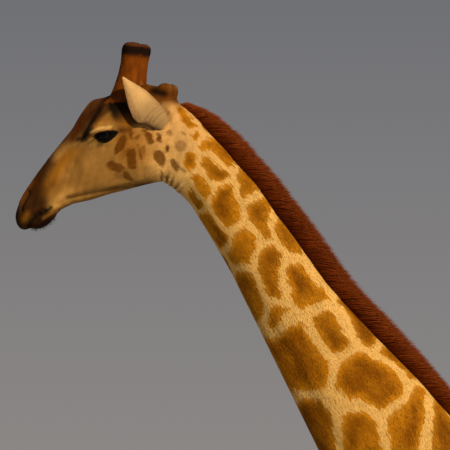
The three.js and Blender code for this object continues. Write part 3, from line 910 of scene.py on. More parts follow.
def ossicone_colours(points):
    """Brown shafts, with a dark rim of hair and a worn crown."""
    up = ossicone_share(points)[:, None]
    horn = OSSICONE_COLOUR * (1 + 0.25 * wobble(points * [1, 1, 0.3], 0.012, 42)[:, :1])
    horn = horn + ramp(up, 0.74, 0.80) * (OSSICONE_RIM - horn)
    return horn + ramp(up, 0.93, 0.97) * (OSSICONE_CROWN - horn)


def ear_colours(points):
    """Pale ears, darker towards the root."""
    up, _, behind = ear_share(points)
    ear = np.where((behind < -0.004)[:, None], EAR_INSIDE, EAR_COLOUR)
    return ear * (0.58 + 0.42 * ramp(up, 0.02, 0.11))[:, None]


def coat_colours(points, parts, tree):
    """Each point's ground and patch colours, its depth inside its patch and how much the border frays."""
    depth, size, tone = patch_edges(points, parts, tree)
    place = head_place(points)
    blotch = wobble(points, 0.05, 41)[:, :1]
    belly = ((parts == "trunk") * ramp(2.15 - points[:, 2], 0.0, 0.16))[:, None]
    ground = NET + belly * (BELLY - NET)
    nape = bump(np.linalg.norm((points - NAPE_MIDDLE)[:, [0, 2]], axis=1), NAPE_WIDTH)[:, None]
    ground = (ground + nape * (NAPE - ground)) * (1 + 0.05 * blotch)
    spot_depth, strength = face_spots(points, place)
    on_head = of_head(parts)
    near_head = on_head | ((place[:, 0] < FACE_PAINTED[0]) & (place[:, 1] > FACE_PAINTED[1]))
    is_spot = near_head & (spot_depth > np.maximum(depth, -0.02))
    depth = np.where(is_spot, spot_depth, np.where(on_head & (place[:, 0] < ONLY_SPOTS), NO_PATCH, depth))
    depth = np.where(np.isin(parts, ["ear", "ossicone"]), NO_PATCH, depth)
    ground = np.where(near_head[:, None], face_paint(points, ground), ground)
    # painted shade: the creases of the throat's folds are darkened
    crease_shade = np.clip(-throat_folds(points), 0, 1)[:, None]
    ground = ground + 0.8 * crease_shade * (CREASE_SHADE - ground)
    ground = np.where((parts == "ossicone")[:, None], ossicone_colours(points), ground)
    ground = np.where((parts == "ear")[:, None], ear_colours(points), ground)
    cloudy = 0.72 + 0.45 * blotch + 0.20 * wobble(points, 0.024, 47)[:, :1]
    inner = ramp(depth / np.clip(size, 0.015, 0.045), 0.05, 0.75)[:, None] * cloudy
    mark = (RIM + np.clip(inner, 0, 1) * (CENTRE - RIM)) * (1 + 0.12 * tone[:, None])
    spot = ground + strength[:, None] * (SPOT - ground)
    mark = np.where(is_spot[:, None], spot, mark)
    return ground, mark, depth, np.where(is_spot, FACE_FRAY, 1.0)


# ---- The lie of the coat, and each point's place along and round its part


def leg_line(leg):
    """The middle line of a leg, from the hip or shoulder down, from slices of its solids."""
    solids = [NODES[f"{leg}_{half}_leg"] for half in ("upper", "lower")]
    points = np.concatenate([points_of(s.data) for s in solids])
    line = []
    for z in np.linspace(points[:, 2].max() - 0.15, points[:, 2].min() + 0.05, 9):
        near = points[np.abs(points[:, 2] - z) < 0.16]
        line.append((*((near.min(0) + near.max(0)) / 2)[:2], z))
    return line


def part_lines():
    """The lines that the body's parts run along, and the nominal radius of each part."""
    lines = {"head": (HEAD_LINE, 0.09), "body": (SPINE_LINE, 0.16), "tail": (TAIL_LINE, 0.02)}
    for leg in LEGS:
        lines[leg] = (leg_line(leg), 0.06)
    for name, side in SIDES.items():
        lines["ear_" + name] = ([EAR_ROOT * [1, side, 1], EAR_TIP * [1, side, 1]], 0.05)
        lines["ossicone_" + name] = ([OSSICONE_ROOT * [1, side, 1], OSSICONE_TOP * [1, side, 1]], 0.04)
    return lines


def region_of(points, parts):
    """The line that each point belongs to."""
    region = np.full(len(points), "body", dtype="U16")
    region[of_head(parts)] = "head"
    region[parts == "tail"] = "tail"
    left = points[:, 1] < 0
    fore = points[:, 0] < 0.7
    leg = np.isin(parts, ["upper_leg", "lower_leg"])
    for end, ahead in (("fore", fore), ("hind", ~fore)):
        for name, same in (("left", left), ("right", ~left)):
            region[leg & ahead & same] = f"{end}_{name}"
    for kind in ("ear", "ossicone"):
        region[(parts == kind) & left] = kind + "_left"
        region[(parts == kind) & ~left] = kind + "_right"
    return region


def lie_of_coat(points, normals, edges, parts):
    """For each point: its region, its place along and round it, the grain of its hair and the way it lies."""
    region = region_of(points, parts)
    share = np.zeros((len(points), 2))
    grain = np.zeros((len(points), 3))
    way = np.zeros((len(points), 3))
    for number, (name, (line, radius)) in enumerate(part_lines().items()):
        here = np.flatnonzero(region == name)
        if not len(here):
            continue
        _, far, middle, ahead = along_line(line, points[here])
        across = unit(np.array([0.0, 1.0, 0.0]) - ahead * ahead[:, 1:2])
        upward = np.cross(ahead, across)
        off = points[here] - middle
        turn = np.arctan2(np.einsum("ij,ij->i", off, across), np.einsum("ij,ij->i", off, upward))
        length = np.sum(np.linalg.norm(np.diff(np.array(line, float), axis=0), axis=1))
        share[here] = np.stack([far / length, turn / math.pi], 1)
        grain[here] = np.stack([far + number, np.cos(turn) * radius, np.sin(turn) * radius], 1)
        way[here] = ahead
    way[parts == "trunk"] += [0, 0, -0.35]
    way = smooth(edges, unit(way), 30, 0.8)
    way = unit(way - normals * np.einsum("ij,ij->i", way, normals)[:, None])
    return region, share, grain, way


def add_numbers(mesh, name, values):
    """A named number, vector or colour on each point of a mesh."""
    kind = {1: "FLOAT", 3: "FLOAT_VECTOR", 4: "FLOAT_COLOR"}[values.shape[1]]
    layer = mesh.attributes.new(name, kind, "POINT")
    key = {1: "value", 3: "vector", 4: "color"}[values.shape[1]]
    layer.data.foreach_set(key, values.astype(np.float32).ravel())


def with_alpha(colours):
    """Colours as four numbers each."""
    return np.concatenate([np.clip(colours, 0, 1), np.ones((len(colours), 1))], 1)


def parts_with_ears(points):
    """The part of each point of the skin: an ear where it lies on the ear's own surface."""
    parts = nearest_on(solid_tree, points, solid_labels)[2].astype("U12")
    near_ears = np.flatnonzero((ear_share(points)[0] > -0.04) & (points[:, 2] > 4.5))
    for ear_tree in ear_trees:
        for k in near_ears:
            if ear_tree.find_nearest(Vector(points[k]), 0.001)[0] is not None:
                parts[k] = "ear"
    return parts


skin_points = points_of(skin.data)
skin_normals = normals_of(skin.data)
skin_edges = edges_of(skin.data)
skin_triangles = triangles_of(skin.data)
skin_parts = parts_with_ears(skin_points)
skin_tree = BVHTree.FromPolygons(skin_points.tolist(), skin_triangles.tolist())
skin_ground, skin_mark, skin_depth, skin_fray = coat_colours(skin_points, skin_parts, skin_tree)
skin_region, skin_chart, skin_grain, skin_way = lie_of_coat(skin_points, skin_normals, skin_edges, skin_parts)
add_numbers(skin.data, "ground", with_alpha(skin_ground))
add_numbers(skin.data, "mark", with_alpha(skin_mark))
add_numbers(skin.data, "depth", skin_depth[:, None])
add_numbers(skin.data, "fray", skin_fray[:, None])
add_numbers(skin.data, "grain", skin_grain)
add_numbers(skin.data, "place", skin_points)

# ---- Strands: single hairs as closed, tapering solids

BAKE_PATCH = 0.003


def bake_map(piece, chart, corners):
    """Lays each tuft or hair as one small patch at its root's place on the unwrapped skin."""
    layer = piece.data.uv_layers.new(name="OFBake")
    low = BAKE_PATCH + chart * (1 - 3 * BAKE_PATCH)
    spots = low[:, None] + corners[None] * BAKE_PATCH
    layer.data.foreach_set("uv", spots.astype(np.float32).ravel())


def strands(name, paths, half_widths, chart, seed):
    """Three-sided hairs along paths (hair, place, xyz), with a half-width at each place and a pointed tip."""
    count, places = paths.shape[:2]
    rng = np.random.default_rng(seed)
    way = unit(np.gradient(paths, axis=1))
    spin = rng.uniform(0, 2 * math.pi, count)
    guide = np.tile(np.array([0.31, 0.86, 0.40]), (count, 1))
    side = unit(np.cross(way[:, 0], guide))
    rings = []
    for k in range(places - 1):
        side = unit(side - way[:, k] * np.einsum("ij,ij->i", side, way[:, k])[:, None])
        up = np.cross(way[:, k], side)
        for corner in range(3):
            turn = spin + corner * 2 * math.pi / 3
            reach = side * np.cos(turn)[:, None] + up * np.sin(turn)[:, None]
            rings.append(paths[:, k] + reach * half_widths[:, k, None])
    rings.append(paths[:, -1])
    points = np.stack(rings, 1)
    stride = points.shape[1]
    one = [(2, 1, 0)]
    for k in range(places - 2):
        for corner in range(3):
            a, b = 3 * k + corner, 3 * k + (corner + 1) % 3
            one += [(a, b, b + 3), (a, b + 3, a + 3)]
    last = 3 * (places - 2)
    one += [(last + corner, last + (corner + 1) % 3, stride - 1) for corner in range(3)]
    triangles = np.arange(count)[:, None, None] * stride + np.array(one)[None]
    piece = fast_mesh(name, points.reshape(-1, 3), triangles.reshape(-1, 3))
    along = np.append(np.repeat(np.arange(places - 1), 3), places - 1) / (places - 1)
    across = np.append(np.tile([0.0, 1.0, 0.5], places - 1), 0.5)
    bake_map(piece, chart, np.stack([across, along], 1)[np.array(one).ravel()])
    add_numbers(piece.data, "along", np.tile(along, count)[:, None])
    add_numbers(piece.data, "tone", np.repeat(rng.uniform(0, 1, count), stride)[:, None])
    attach(piece, "root")
    return piece


MANE_BASE = np.array([  # x, z, height, half-width, from the poll to the withers
    (-1.117, 4.656, 0.024, 0.008),
    (-1.046, 4.611, 0.050, 0.011),
    (-0.969, 4.542, 0.065, 0.013),
    (-0.826, 4.386, 0.069, 0.015),
    (-0.676, 4.193, 0.073, 0.017),
    (-0.528, 3.981, 0.077, 0.018),
    (-0.351, 3.795, 0.073, 0.018),
    (-0.195, 3.640, 0.058, 0.018),
    (-0.025, 3.450, 0.054, 0.017),
    (0.120, 3.298, 0.036, 0.014),
    (0.205, 3.198, 0.012, 0.008),
])
MANE_ROOT = 0.026  # how deep the hairs start
MANE_SWEEP = 0.84  # how steeply the hairs leave the crest, in radians from its line
MANE_HAIRS = 17500
TAIL_HAIRS = 1700


def make_mane():
    """The stiff mane, thousands of hairs that leave the crest of the neck and sweep back along it."""
    rng = np.random.default_rng(11)
    steps = np.diff(MANE_BASE[:, :2], axis=0)
    run = np.concatenate([[0], np.cumsum(np.linalg.norm(steps, axis=1))])
    at = run[-1] * (rng.uniform(0, 1, MANE_HAIRS) ** 1.05) - 0.006
    x, z, height, half = (np.interp(at, run, column) for column in MANE_BASE.T)
    ahead = unit(np.stack([np.interp(at, run[:-1] + np.diff(run) / 2, steps[:, k]) for k in range(2)], 1))
    along = np.stack([ahead[:, 0], 0 * x, ahead[:, 1]], 1)
    upward = np.stack([-ahead[:, 1], 0 * x, ahead[:, 0]], 1)
    across = rng.uniform(-1, 1, MANE_HAIRS)
    root = np.stack([x, across * half, z], 1) - upward * MANE_ROOT
    clump = np.sin(at * 2 * math.pi / 0.016 + 2.5 * np.sin(at * 37.0)) + np.sin(at * 2 * math.pi / 0.043)
    tall = height * (1.0 - 0.26 * across**2) * rng.uniform(0.78, 1.04, MANE_HAIRS) * (0.97 + 0.03 * clump)
    tall = tall + MANE_ROOT
    sweep = MANE_SWEEP * (1 + rng.normal(0, 0.09, MANE_HAIRS) + 0.025 * clump)
    trail = tall / np.tan(sweep)
    sideways = np.array([0, 1, 0]) * ((0.008 * across + rng.normal(0, 0.003, MANE_HAIRS))[:, None])
    paths = []
    for t in (0.0, 0.6, 1.0):
        rise = tall * (1.10 * t - 0.10 * t * t)
        back = trail * (0.85 * t + 0.15 * t * t)
        paths.append(root + upward * rise[:, None] + along * back[:, None] + sideways * t)
    widths = np.array([0.0015, 0.0013, 0.0]) * rng.uniform(0.7, 1.2, (MANE_HAIRS, 1))
    chart = np.stack([0.5 + 0.45 * across, np.clip(at / run[-1], 0, 1)], 1)
    return strands("mane_hair", np.stack(paths, 1), widths, chart, 12)


TAIL_TUFT = np.array([  # z and half-width of the tuft, from the dock down
    (1.640, 0.018),
    (1.480, 0.036),
    (1.220, 0.050),
    (1.000, 0.034),
    (0.880, 0.010),
])
TAIL_X = 1.668
TAIL_ROOTS = (1.49, 1.66)  # the height of the dock's end, which the hairs leave
TAIL_TIP = 0.885


def make_tail_tuft():
    """The long black hairs of the tail, which leave the end of the dock and hang in a slim brush."""
    rng = np.random.default_rng(21)
    places = 8
    start = rng.uniform(*TAIL_ROOTS, TAIL_HAIRS)
    drop = rng.uniform(0.45, 1.0, TAIL_HAIRS)
    end = start - (start - TAIL_TIP) * drop
    turn = rng.uniform(0, 2 * math.pi, TAIL_HAIRS)
    reach = np.sqrt(rng.uniform(0.02, 1, TAIL_HAIRS))
    paths = np.empty((TAIL_HAIRS, places, 3))
    wave = rng.uniform(0, 2 * math.pi, TAIL_HAIRS)
    for k in range(places):
        t = k / (places - 1)
        z = start + (end - start) * t
        half = np.interp(z, TAIL_TUFT[::-1, 0], TAIL_TUFT[::-1, 1])
        spread = reach * half * 0.93 * min(1.0, 0.35 + 2.2 * t)
        sway = 0.004 * np.sin(wave + 7 * t)
        paths[:, k] = np.stack([TAIL_X + np.cos(turn) * spread + sway, np.sin(turn) * spread - sway, z], 1)
    widths = 0.0022 * np.array([0.8, 1, 1, 1, 0.9, 0.8, 0.6, 0]) * rng.uniform(0.7, 1.3, (TAIL_HAIRS, 1))
    chart = np.stack([turn / (2 * math.pi), (start - TAIL_ROOTS[0]) / (TAIL_ROOTS[1] - TAIL_ROOTS[0])], 1)
    return strands("tail_hair", paths, widths, chart, 22)


GAZE = np.array([-0.12, 1, -0.10])  # the way the right eye looks
CORNEA_START = 0.72  # as a share of the eyeball's radius
CORNEA_BULGE = 0.02
IRIS_EDGE = (0.74, 0.80)  # the cosine of the angle off the gaze
PUPIL_EDGE = (0.88, 0.92)


def make_eye(name, side):
    """An eyeball with a clear bulge over its iris."""
    piece = mesh_piece("eyeball_" + name, [], [])
    net = bmesh.new()
    bmesh.ops.create_uvsphere(net, u_segments=64, v_segments=40, radius=EYE_RADIUS - 0.0008)
    look = unit(GAZE * [1, side, 1])
    turn = Vector((0, 0, 1)).rotation_difference(Vector(look)).to_matrix().to_4x4()
    for v in net.verts:
        height = v.co.z / EYE_RADIUS
        if height > CORNEA_START:
            v.co *= 1 + CORNEA_BULGE * ((height - CORNEA_START) / (1 - CORNEA_START)) ** 2
    bmesh.ops.transform(net, matrix=Matrix.Translation(EYE * [1, side, 1]) @ turn, verts=net.verts)
    net.to_mesh(piece.data)
    net.free()
    shade_smooth(piece)
    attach(piece, "root")
    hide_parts("eye_" + name)
    return piece, look


def make_hoof(node):
    """A smoother hoof over its solid, flat where it stands."""
    piece = bpy.data.objects.new("horn_" + node, NODES[node].data.copy())
    bpy.context.scene.collection.objects.link(piece)
    net = bmesh.new()
    net.from_mesh(piece.data)
    bmesh.ops.remove_doubles(net, verts=net.verts, dist=1e-6)
    net.to_mesh(piece.data)
    net.free()
    remesh(piece, HOOF_VOXEL)
    mesh = piece.data
    points = points_of(mesh)
    sole = points[:, 2] < HOOF_VOXEL
    rounded = smooth(edges_of(mesh), points, 12, 0.6)
    rounded[sole, 2] = np.maximum(points[sole, 2], 0.0)
    rounded[:, 2] = np.maximum(rounded[:, 2], 0.0)
    set_points(mesh, rounded)
    shade_smooth(piece)
    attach(piece, "root")
    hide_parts(node)
    return piece


mane = make_mane()
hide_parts("mane")
tail_hair = make_tail_tuft()
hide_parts("tail_tuft")
eyes = [make_eye(name, side) for name, side in SIDES.items()]
hooves = [make_hoof(node) for node in NODES if node.endswith("hoof")]

# ---- The coat: short tufts over the skin, which lie along the body

TUFTS_A_PIECE = 48000
COAT = {  # length and width of a tuft, and tufts on a square metre
    "trunk": (0.025, 0.0036, 15500),
    "neck": (0.019, 0.0028, 36000),
    "upper_leg": (0.021, 0.0032, 20000),
    "lower_leg": (0.013, 0.0022, 28000),
    "tail": (0.016, 0.0024, 60000),
    "head": (0.0095, 0.0016, 95000),
    "jaw": (0.009, 0.0016, 95000),
    "ear": (0.009, 0.0014, 130000),
    "ossicone": (0.015, 0.0020, 130000),
}
COAT_GROUPS = {
    "head": ["head"],
    "ears": ["ear_left", "ear_right", "ossicone_left", "ossicone_right"],
    "body": ["body"],
    "forelegs": ["fore_left", "fore_right"],
    "hindlegs": ["hind_left", "hind_right", "tail"],
}


def corner_mean(values, triangles, weights):
    """A number or vector on the skin's points, taken at places inside its triangles."""
    return sum(values[triangles[:, k]] * weights[:, k:k + 1] for k in range(3))


def tuft_places(rng):
    """Where tufts grow: each one's triangle of the skin, and its place in that triangle."""
    a, b, c = (skin_points[skin_triangles[:, k]] for k in range(3))
    area = np.linalg.norm(np.cross(b - a, c - a), axis=1) / 2
    many = np.array([COAT[p][2] for p in skin_parts])[skin_triangles[:, 0]]
    face = head_place((a + b + c) / 3)
    on_head = of_head(skin_parts)[skin_triangles[:, 0]]
    muzzle = 1 + 0.6 * ramp(0.35 - face[:, 0], 0.0, 0.15) * on_head
    total = np.cumsum(area * many * muzzle)
    count = int(total[-1])
    chosen = np.searchsorted(total, (np.arange(count) + rng.uniform(0, 1, count)) * total[-1] / count)
    u, v = np.sqrt(rng.uniform(0, 1, count)), rng.uniform(0, 1, count)
    return skin_triangles[chosen], np.stack([1 - u, u * (1 - v), u * v], 1)


def bare(points, parts):
    """True where no hair grows: the lids' edges, the nostrils, the mouth and the crowns of the ossicones."""
    place = head_place(points)[:, :2]
    by_eye = np.linalg.norm(eye_place(points), axis=1) < 0.07
    lids = by_eye & (off_eye(points) < 0.0025)
    holes = (path_distance(place, NOSTRIL) < 0.004) | (path_distance(place, MOUTH) < 0.003)
    crown = (parts == "ossicone") & (ossicone_share(points) > 0.965)
    return lids | (holes & of_head(parts)) | crown


def spears(name, root, normal, way, length, width, lift, chart):
    """Slim, closed, four-sided tufts: each has a sunk root, a low ridge and a tip over the skin."""
    side = np.cross(normal, way)
    tips = []
    for place, rise in zip(root + way * length[:, None], lift):
        spot, up, _, _ = skin_tree.find_nearest(place)
        tips.append(spot + up * rise)
    low = root - normal * 0.0010
    half = side * (width / 2)[:, None]
    ridge = root + normal * (0.0002 + 0.05 * width)[:, None] + way * (0.15 * length)[:, None]
    points = np.stack([low - half, low + half, ridge, np.array(tips)], 1)
    one = np.array([(0, 1, 2), (1, 3, 2), (3, 0, 2), (0, 3, 1)])
    triangles = np.arange(len(root))[:, None, None] * 4 + one[None]
    piece = fast_mesh(name, points.reshape(-1, 3), triangles.reshape(-1, 3))
    corners = np.array([(0.0, 0.0), (1.0, 0.0), (0.5, 0.3), (0.5, 1.0)])
    bake_map(piece, chart, corners[one.ravel()])
    return piece


CREST_LINE = [(x, half + 0.010, z - 0.004) for x, z, _, half in MANE_BASE[:7]]  # pale edge by the mane
CREST_LINE_HALF_WIDTH = 0.0045


def make_coat():
    """All the short hair, in pieces by region, coloured like the skin at each root."""
    rng = np.random.default_rng(51)
    corners, weights = tuft_places(rng)
    root = corner_mean(skin_points, corners, weights)
    kind = skin_parts[corners[:, 0]]
    keep = ~bare(root, kind)
    corners, weights, root, kind = corners[keep], weights[keep], root[keep], kind[keep]
    normal = unit(corner_mean(skin_normals, corners, weights))
    lie = corner_mean(skin_way, corners, weights)
    swirl = 0.22 * wobble(root, 0.16, 52)[:, :1] + rng.normal(0, 0.13, (len(root), 1))
    lie = unit(lie - normal * np.einsum("ij,ij->i", lie, normal)[:, None])
    lie = unit(lie + np.cross(normal, lie) * swirl)
    length = np.array([COAT[k][0] for k in kind]) * rng.uniform(0.7, 1.25, len(root))
    width = np.array([COAT[k][1] for k in kind]) * rng.uniform(0.7, 1.25, len(root))
    near_nose = 1 - 0.35 * ramp(0.40 - head_place(root)[:, 0], 0.0, 0.25) * of_head(kind)
    by_head = np.where(kind == "neck", 0.55 + 0.45 * ramp(root[:, 0], -1.15, -0.85), 1.0)
    length, width = length * near_nose * by_head, width * near_nose * by_head
    lift = length * rng.uniform(0.015, 0.055, len(root)) * np.where(kind == "ear", 0.6, 1.0)
    on_crest = along_line(CREST_LINE, folded(root))[0] < CREST_LINE_HALF_WIDTH
    root_depth = np.where(on_crest[:, None], NO_PATCH, corner_mean(skin_depth[:, None], corners, weights))
    lift = np.where(on_crest, 0.0035, lift)
    numbers = {
        "ground": with_alpha(corner_mean(skin_ground, corners, weights)),
        "mark": with_alpha(corner_mean(skin_mark, corners, weights)),
        "depth": root_depth,
        "fray": corner_mean(skin_fray[:, None], corners, weights),
        "grain": corner_mean(skin_grain, corners, weights),
        "place": root,
        "tone": rng.uniform(0, 1, (len(root), 1)),
    }
    where = skin_region[corners[:, 0]]
    chart = np.stack([skin_chart[corners[:, 0], 0], 0.5 + 0.5 * skin_chart[corners[:, 0], 1]], 1)
    pieces = []
    for group, names in COAT_GROUPS.items():
        here = np.flatnonzero(np.isin(where, names))
        here = here[np.argsort(chart[here, 0], kind="stable")]
        column = np.array([names.index(w) for w in where[here]])
        spots = np.stack([(column + chart[here, 1]) / len(names), chart[here, 0]], 1)
        parts_needed = math.ceil(len(here) / TUFTS_A_PIECE)
        for number, picks in enumerate(np.array_split(np.arange(len(here)), parts_needed), 1):
            own = here[picks]
            forms = (values[own] for values in (root, normal, lie, length, width, lift))
            piece = spears(f"coat_{group}_{number}", *forms, spots[picks])
            for key, values in numbers.items():
                add_numbers(piece.data, key, np.repeat(values[own], 4, axis=0))
            add_numbers(piece.data, "along", np.tile([0.0, 0.0, 0.2, 1.0], len(own))[:, None])
            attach(piece, "root")
            pieces.append(piece)
    return pieces


coat = make_coat()

# ---- The head's longer hairs: lashes, whiskers and the fringe inside the ears


def loose_hairs(name, root, out, bend, length, width, chart):
    """Single curved hairs from their roots: the way each sets out, the way it bends, its length and width."""
    share = np.array([0.0, 0.35, 0.7, 1.0])
    reach = length[:, None] * share
    paths = root[:, None] + unit(out)[:, None] * reach[..., None]
    paths = paths + bend[:, None] * (length[:, None] * share**2)[..., None]
    widths = np.tile(width * np.array([1.0, 0.85, 0.55, 0.0]), (len(root), 1))
    piece = strands(name, paths, widths, chart, 62)
    return piece


def make_lashes():
    """Long lashes on the upper lids and short ones on the lower."""
    rng = np.random.default_rng(61)
    roots, outs, bends, lengths, charts = [], [], [], [], []
    for side in SIDES.values():
        for upper, count, long in ((True, 90, 0.026), (False, 36, 0.010)):
            share = rng.uniform(0.04, 0.96, count)
            back, low, high = lid_line(share)
            up = high + 0.0006 if upper else low - 0.0006
            out = np.sqrt(np.maximum((EYE_RADIUS + LID) ** 2 - back**2 - up**2, 0))
            roots.append(EYE * [1, side, 1] + np.stack([back, side * (out - 0.0005), up], 1))
            fan = (back - 0.001) / 0.026
            rise = -0.55 if upper else -0.8
            lie = np.stack([0.75 * fan - 0.25, np.full(count, side * 0.9), np.full(count, rise)], 1)
            outs.append(lie + rng.normal(0, 0.08, (count, 3)))
            bends.append(np.stack([0.1 * fan - 0.1, 0 * fan, np.full(count, 0.30 if upper else -0.1)], 1))
            lengths.append(long * rng.uniform(0.7, 1.1, count) * (0.65 + 0.35 * np.sin(math.pi * share)))
            lid = np.full(count, 0.7 if upper else 0.3)
            charts.append(np.stack([0.25 * (1 + side) + 0.5 * share, lid], 1))
    root, out, bend, length, chart = (np.concatenate(v) for v in (roots, outs, bends, lengths, charts))
    return loose_hairs("lashes", root, out, bend, length, 0.00055, chart)


def chart_of(points):
    """The places of some of the skin's points on its unwrap."""
    return np.stack([0.5 + 0.5 * skin_chart[points, 1], np.clip(skin_chart[points, 0], 0, 1)], 1)


def make_whiskers():
    """Short dark bristles on the chin."""
    rng = np.random.default_rng(63)
    place = head_place(skin_points)
    chin = path_distance(place[:, :2], [(0.028, -0.054), (0.060, -0.070), (0.110, -0.080)]) < 0.020
    pick = rng.choice(np.flatnonzero(chin & of_head(skin_parts)), 190)
    root = skin_points[pick] - skin_normals[pick] * 0.001
    out = skin_normals[pick] + 0.55 * skin_way[pick]
    out = out + rng.normal(0, 0.25, (len(pick), 3)) + [0.1, 0, -0.25]
    length = rng.uniform(0.006, 0.018, len(pick))
    bend = np.tile([0.1, 0, -0.1], (len(pick), 1))
    return loose_hairs("whiskers", root, out, bend, length, 0.0004, chart_of(pick))


def make_ear_fringe():
    """Pale hairs that fill the hollow of each ear and fringe its edges."""
    rng = np.random.default_rng(65)
    far, across, off = ear_share(skin_points)
    inside = (skin_parts == "ear") & (off < -0.004) & (np.abs(across) < 0.018) & (far > 0.010) & (far < 0.150)
    pick = rng.choice(np.flatnonzero(inside), 1800)
    root = skin_points[pick] - skin_normals[pick] * 0.0008
    tip = on_own_side(root, unit(EAR_TIP - EAR_ROOT))
    out = tip + 0.40 * skin_normals[pick] + rng.normal(0, 0.14, (len(pick), 3))
    length = rng.uniform(0.010, 0.022, len(pick)) * ramp(0.18 - far[pick], 0.0, 0.08)
    bend = -0.2 * skin_normals[pick]
    return loose_hairs("ear_fringe", root, out, bend, length, 0.0006, chart_of(pick))


lashes = make_lashes()
whiskers = make_whiskers()
ear_fringe = make_ear_fringe()

# ---- Materials


class Nodes:
    """Short names for the nodes of a new material or world."""

    def __init__(self, name, kinds=bpy.data.materials):
        self.owner = kinds.new(name)
        self.owner.use_nodes = True
        self.tree = self.owner.node_tree

    def join(self, value, socket):
        """Links another node's output to a socket, or sets the socket to a number or colour."""
        if isinstance(value, bpy.types.NodeSocket):
            self.tree.links.new(value, socket)
        elif socket.type == "RGBA":
            socket.default_value = (*value, 1.0)
        else:
            socket.default_value = value

    def add(self, kind, inputs=(), **settings):
        node = self.tree.nodes.new(kind)
        for key, value in settings.items():
            setattr(node, key, value)
        for key, value in dict(inputs).items():
            self.join(value, node.inputs[key])
        return node

    def read(self, name, output="Vector"):
        return self.add("ShaderNodeAttribute", attribute_name=name).outputs[output]

    def math(self, operation, a, b=0.0):
        return self.add("ShaderNodeMath", {0: a, 1: b}, operation=operation).outputs[0]

    def noise(self, vector, stretch, detail=2.0):
        """Noise over a vector that is first stretched along its axes."""
        turned = self.add("ShaderNodeVectorMath", {0: vector, 1: stretch}, operation="MULTIPLY").outputs[0]
        inputs = {"Vector": turned, "Scale": 1.0, "Detail": detail}
        return self.add("ShaderNodeTexNoise", inputs).outputs["Fac"]

    def mix(self, share, a, b, blend="MIX"):
        node = self.add("ShaderNodeMix", {"Factor": share}, data_type="RGBA", blend_type=blend)
        self.join(a, node.inputs[6])
        self.join(b, node.inputs[7])
        return node.outputs[2]

    def shade(self, colour, value):
        """A colour times a number."""
        tint = self.add("ShaderNodeCombineColor", {0: value, 1: value, 2: value}).outputs[0]
        return self.mix(1.0, colour, tint, "MULTIPLY")

    def spread(self, value, low, high, to_low=0.0, to_high=1.0):
        """A number from low to high, taken smoothly to another range."""
        inputs = {"Value": value, "From Min": low, "From Max": high, "To Min": to_low, "To Max": to_high}
        return self.add("ShaderNodeMapRange", inputs, interpolation_type="SMOOTHSTEP").outputs["Result"]

    def finish(self, colour, roughness, height=None, distance=0.001, strength=1.0, **sockets):
        """Gives the material's shader its colour, roughness and relief."""
        shader = self.tree.nodes["Principled BSDF"]
        self.join(colour, shader.inputs["Base Color"])
        self.join(roughness, shader.inputs["Roughness"])
        for key, value in sockets.items():
            shader.inputs[key.replace("_", " ")].default_value = value
        if height is not None:
            inputs = {"Height": height, "Distance": distance, "Strength": strength}
            self.join(self.add("ShaderNodeBump", inputs).outputs["Normal"], shader.inputs["Normal"])
        return self.owner


def coat_material(name, hair):
    """Short hair over patches and pale lines, whose borders break up along the grain of the coat."""
    n = Nodes(name)
    place = n.read("place")
    grain = n.read("grain")
    teeth = n.noise(grain, (26.0, 80.0, 80.0))
    streak = n.noise(grain, (45.0, 300.0, 300.0))
    fine = n.noise(grain, (110.0, 900.0, 900.0))
    soft = n.noise(place, (34.0, 34.0, 34.0))
    cloud = n.noise(place, (60.0, 60.0, 60.0), 3.0)
    jag = n.math("ADD", n.math("MULTIPLY", teeth, 0.030), n.math("MULTIPLY", streak, 0.014))
    jag = n.math("SUBTRACT", n.math("ADD", jag, n.math("MULTIPLY", soft, 0.008)), 0.026)
    border = n.math("ADD", n.read("depth", "Fac"), n.math("MULTIPLY", jag, n.read("fray", "Fac")))
    inside = n.spread(border, -0.0015, 0.0020)
    dapple = n.spread(cloud, 0.3, 0.7, 0.86, 1.14)
    colour = n.mix(inside, n.read("ground", "Color"), n.shade(n.read("mark", "Color"), dapple))
    shade = n.math("ADD", n.spread(fine, 0.3, 0.7, 0.84, 1.12), n.spread(soft, 0.3, 0.7, -0.05, 0.05))
    colour = n.shade(colour, shade)
    if hair:
        own = n.spread(n.read("tone", "Fac"), 0.0, 1.0, 0.92, 1.08)
        lit = n.math("MULTIPLY", own, n.spread(n.read("along", "Fac"), 0.0, 0.7, 0.95, 1.02))
        return n.finish(n.shade(colour, lit), 0.7, Specular_IOR_Level=0.06)
    height = n.math("ADD", n.math("MULTIPLY", fine, 0.6), streak)
    return n.finish(colour, 0.75, height, distance=0.0012, strength=0.5, Specular_IOR_Level=0.05)


def hair_material(name, dark, light, roots, tips):
    """Coloured hair: light and dark strands mixed, with their own roots and tips."""
    n = Nodes(name)
    tone = n.read("tone", "Fac")
    along = n.read("along", "Fac")
    place = n.add("ShaderNodeNewGeometry").outputs["Position"]
    patchy = n.noise(place, (28.0, 28.0, 28.0))
    share = n.spread(n.math("ADD", n.math("MULTIPLY", tone, 0.6), n.math("MULTIPLY", patchy, 0.6)), 0.2, 0.9)
    colour = n.mix(share, dark, light)
    colour = n.mix(n.spread(along, 0.05, 0.30, 1.0, 0.0), colour, roots)
    tipped = n.math("MULTIPLY", n.spread(along, 0.55, 1.0), n.spread(tone, 0.2, 1.0, 0.35, 1.0))
    colour = n.mix(tipped, colour, tips)
    return n.finish(colour, 0.55, Specular_IOR_Level=0.08)


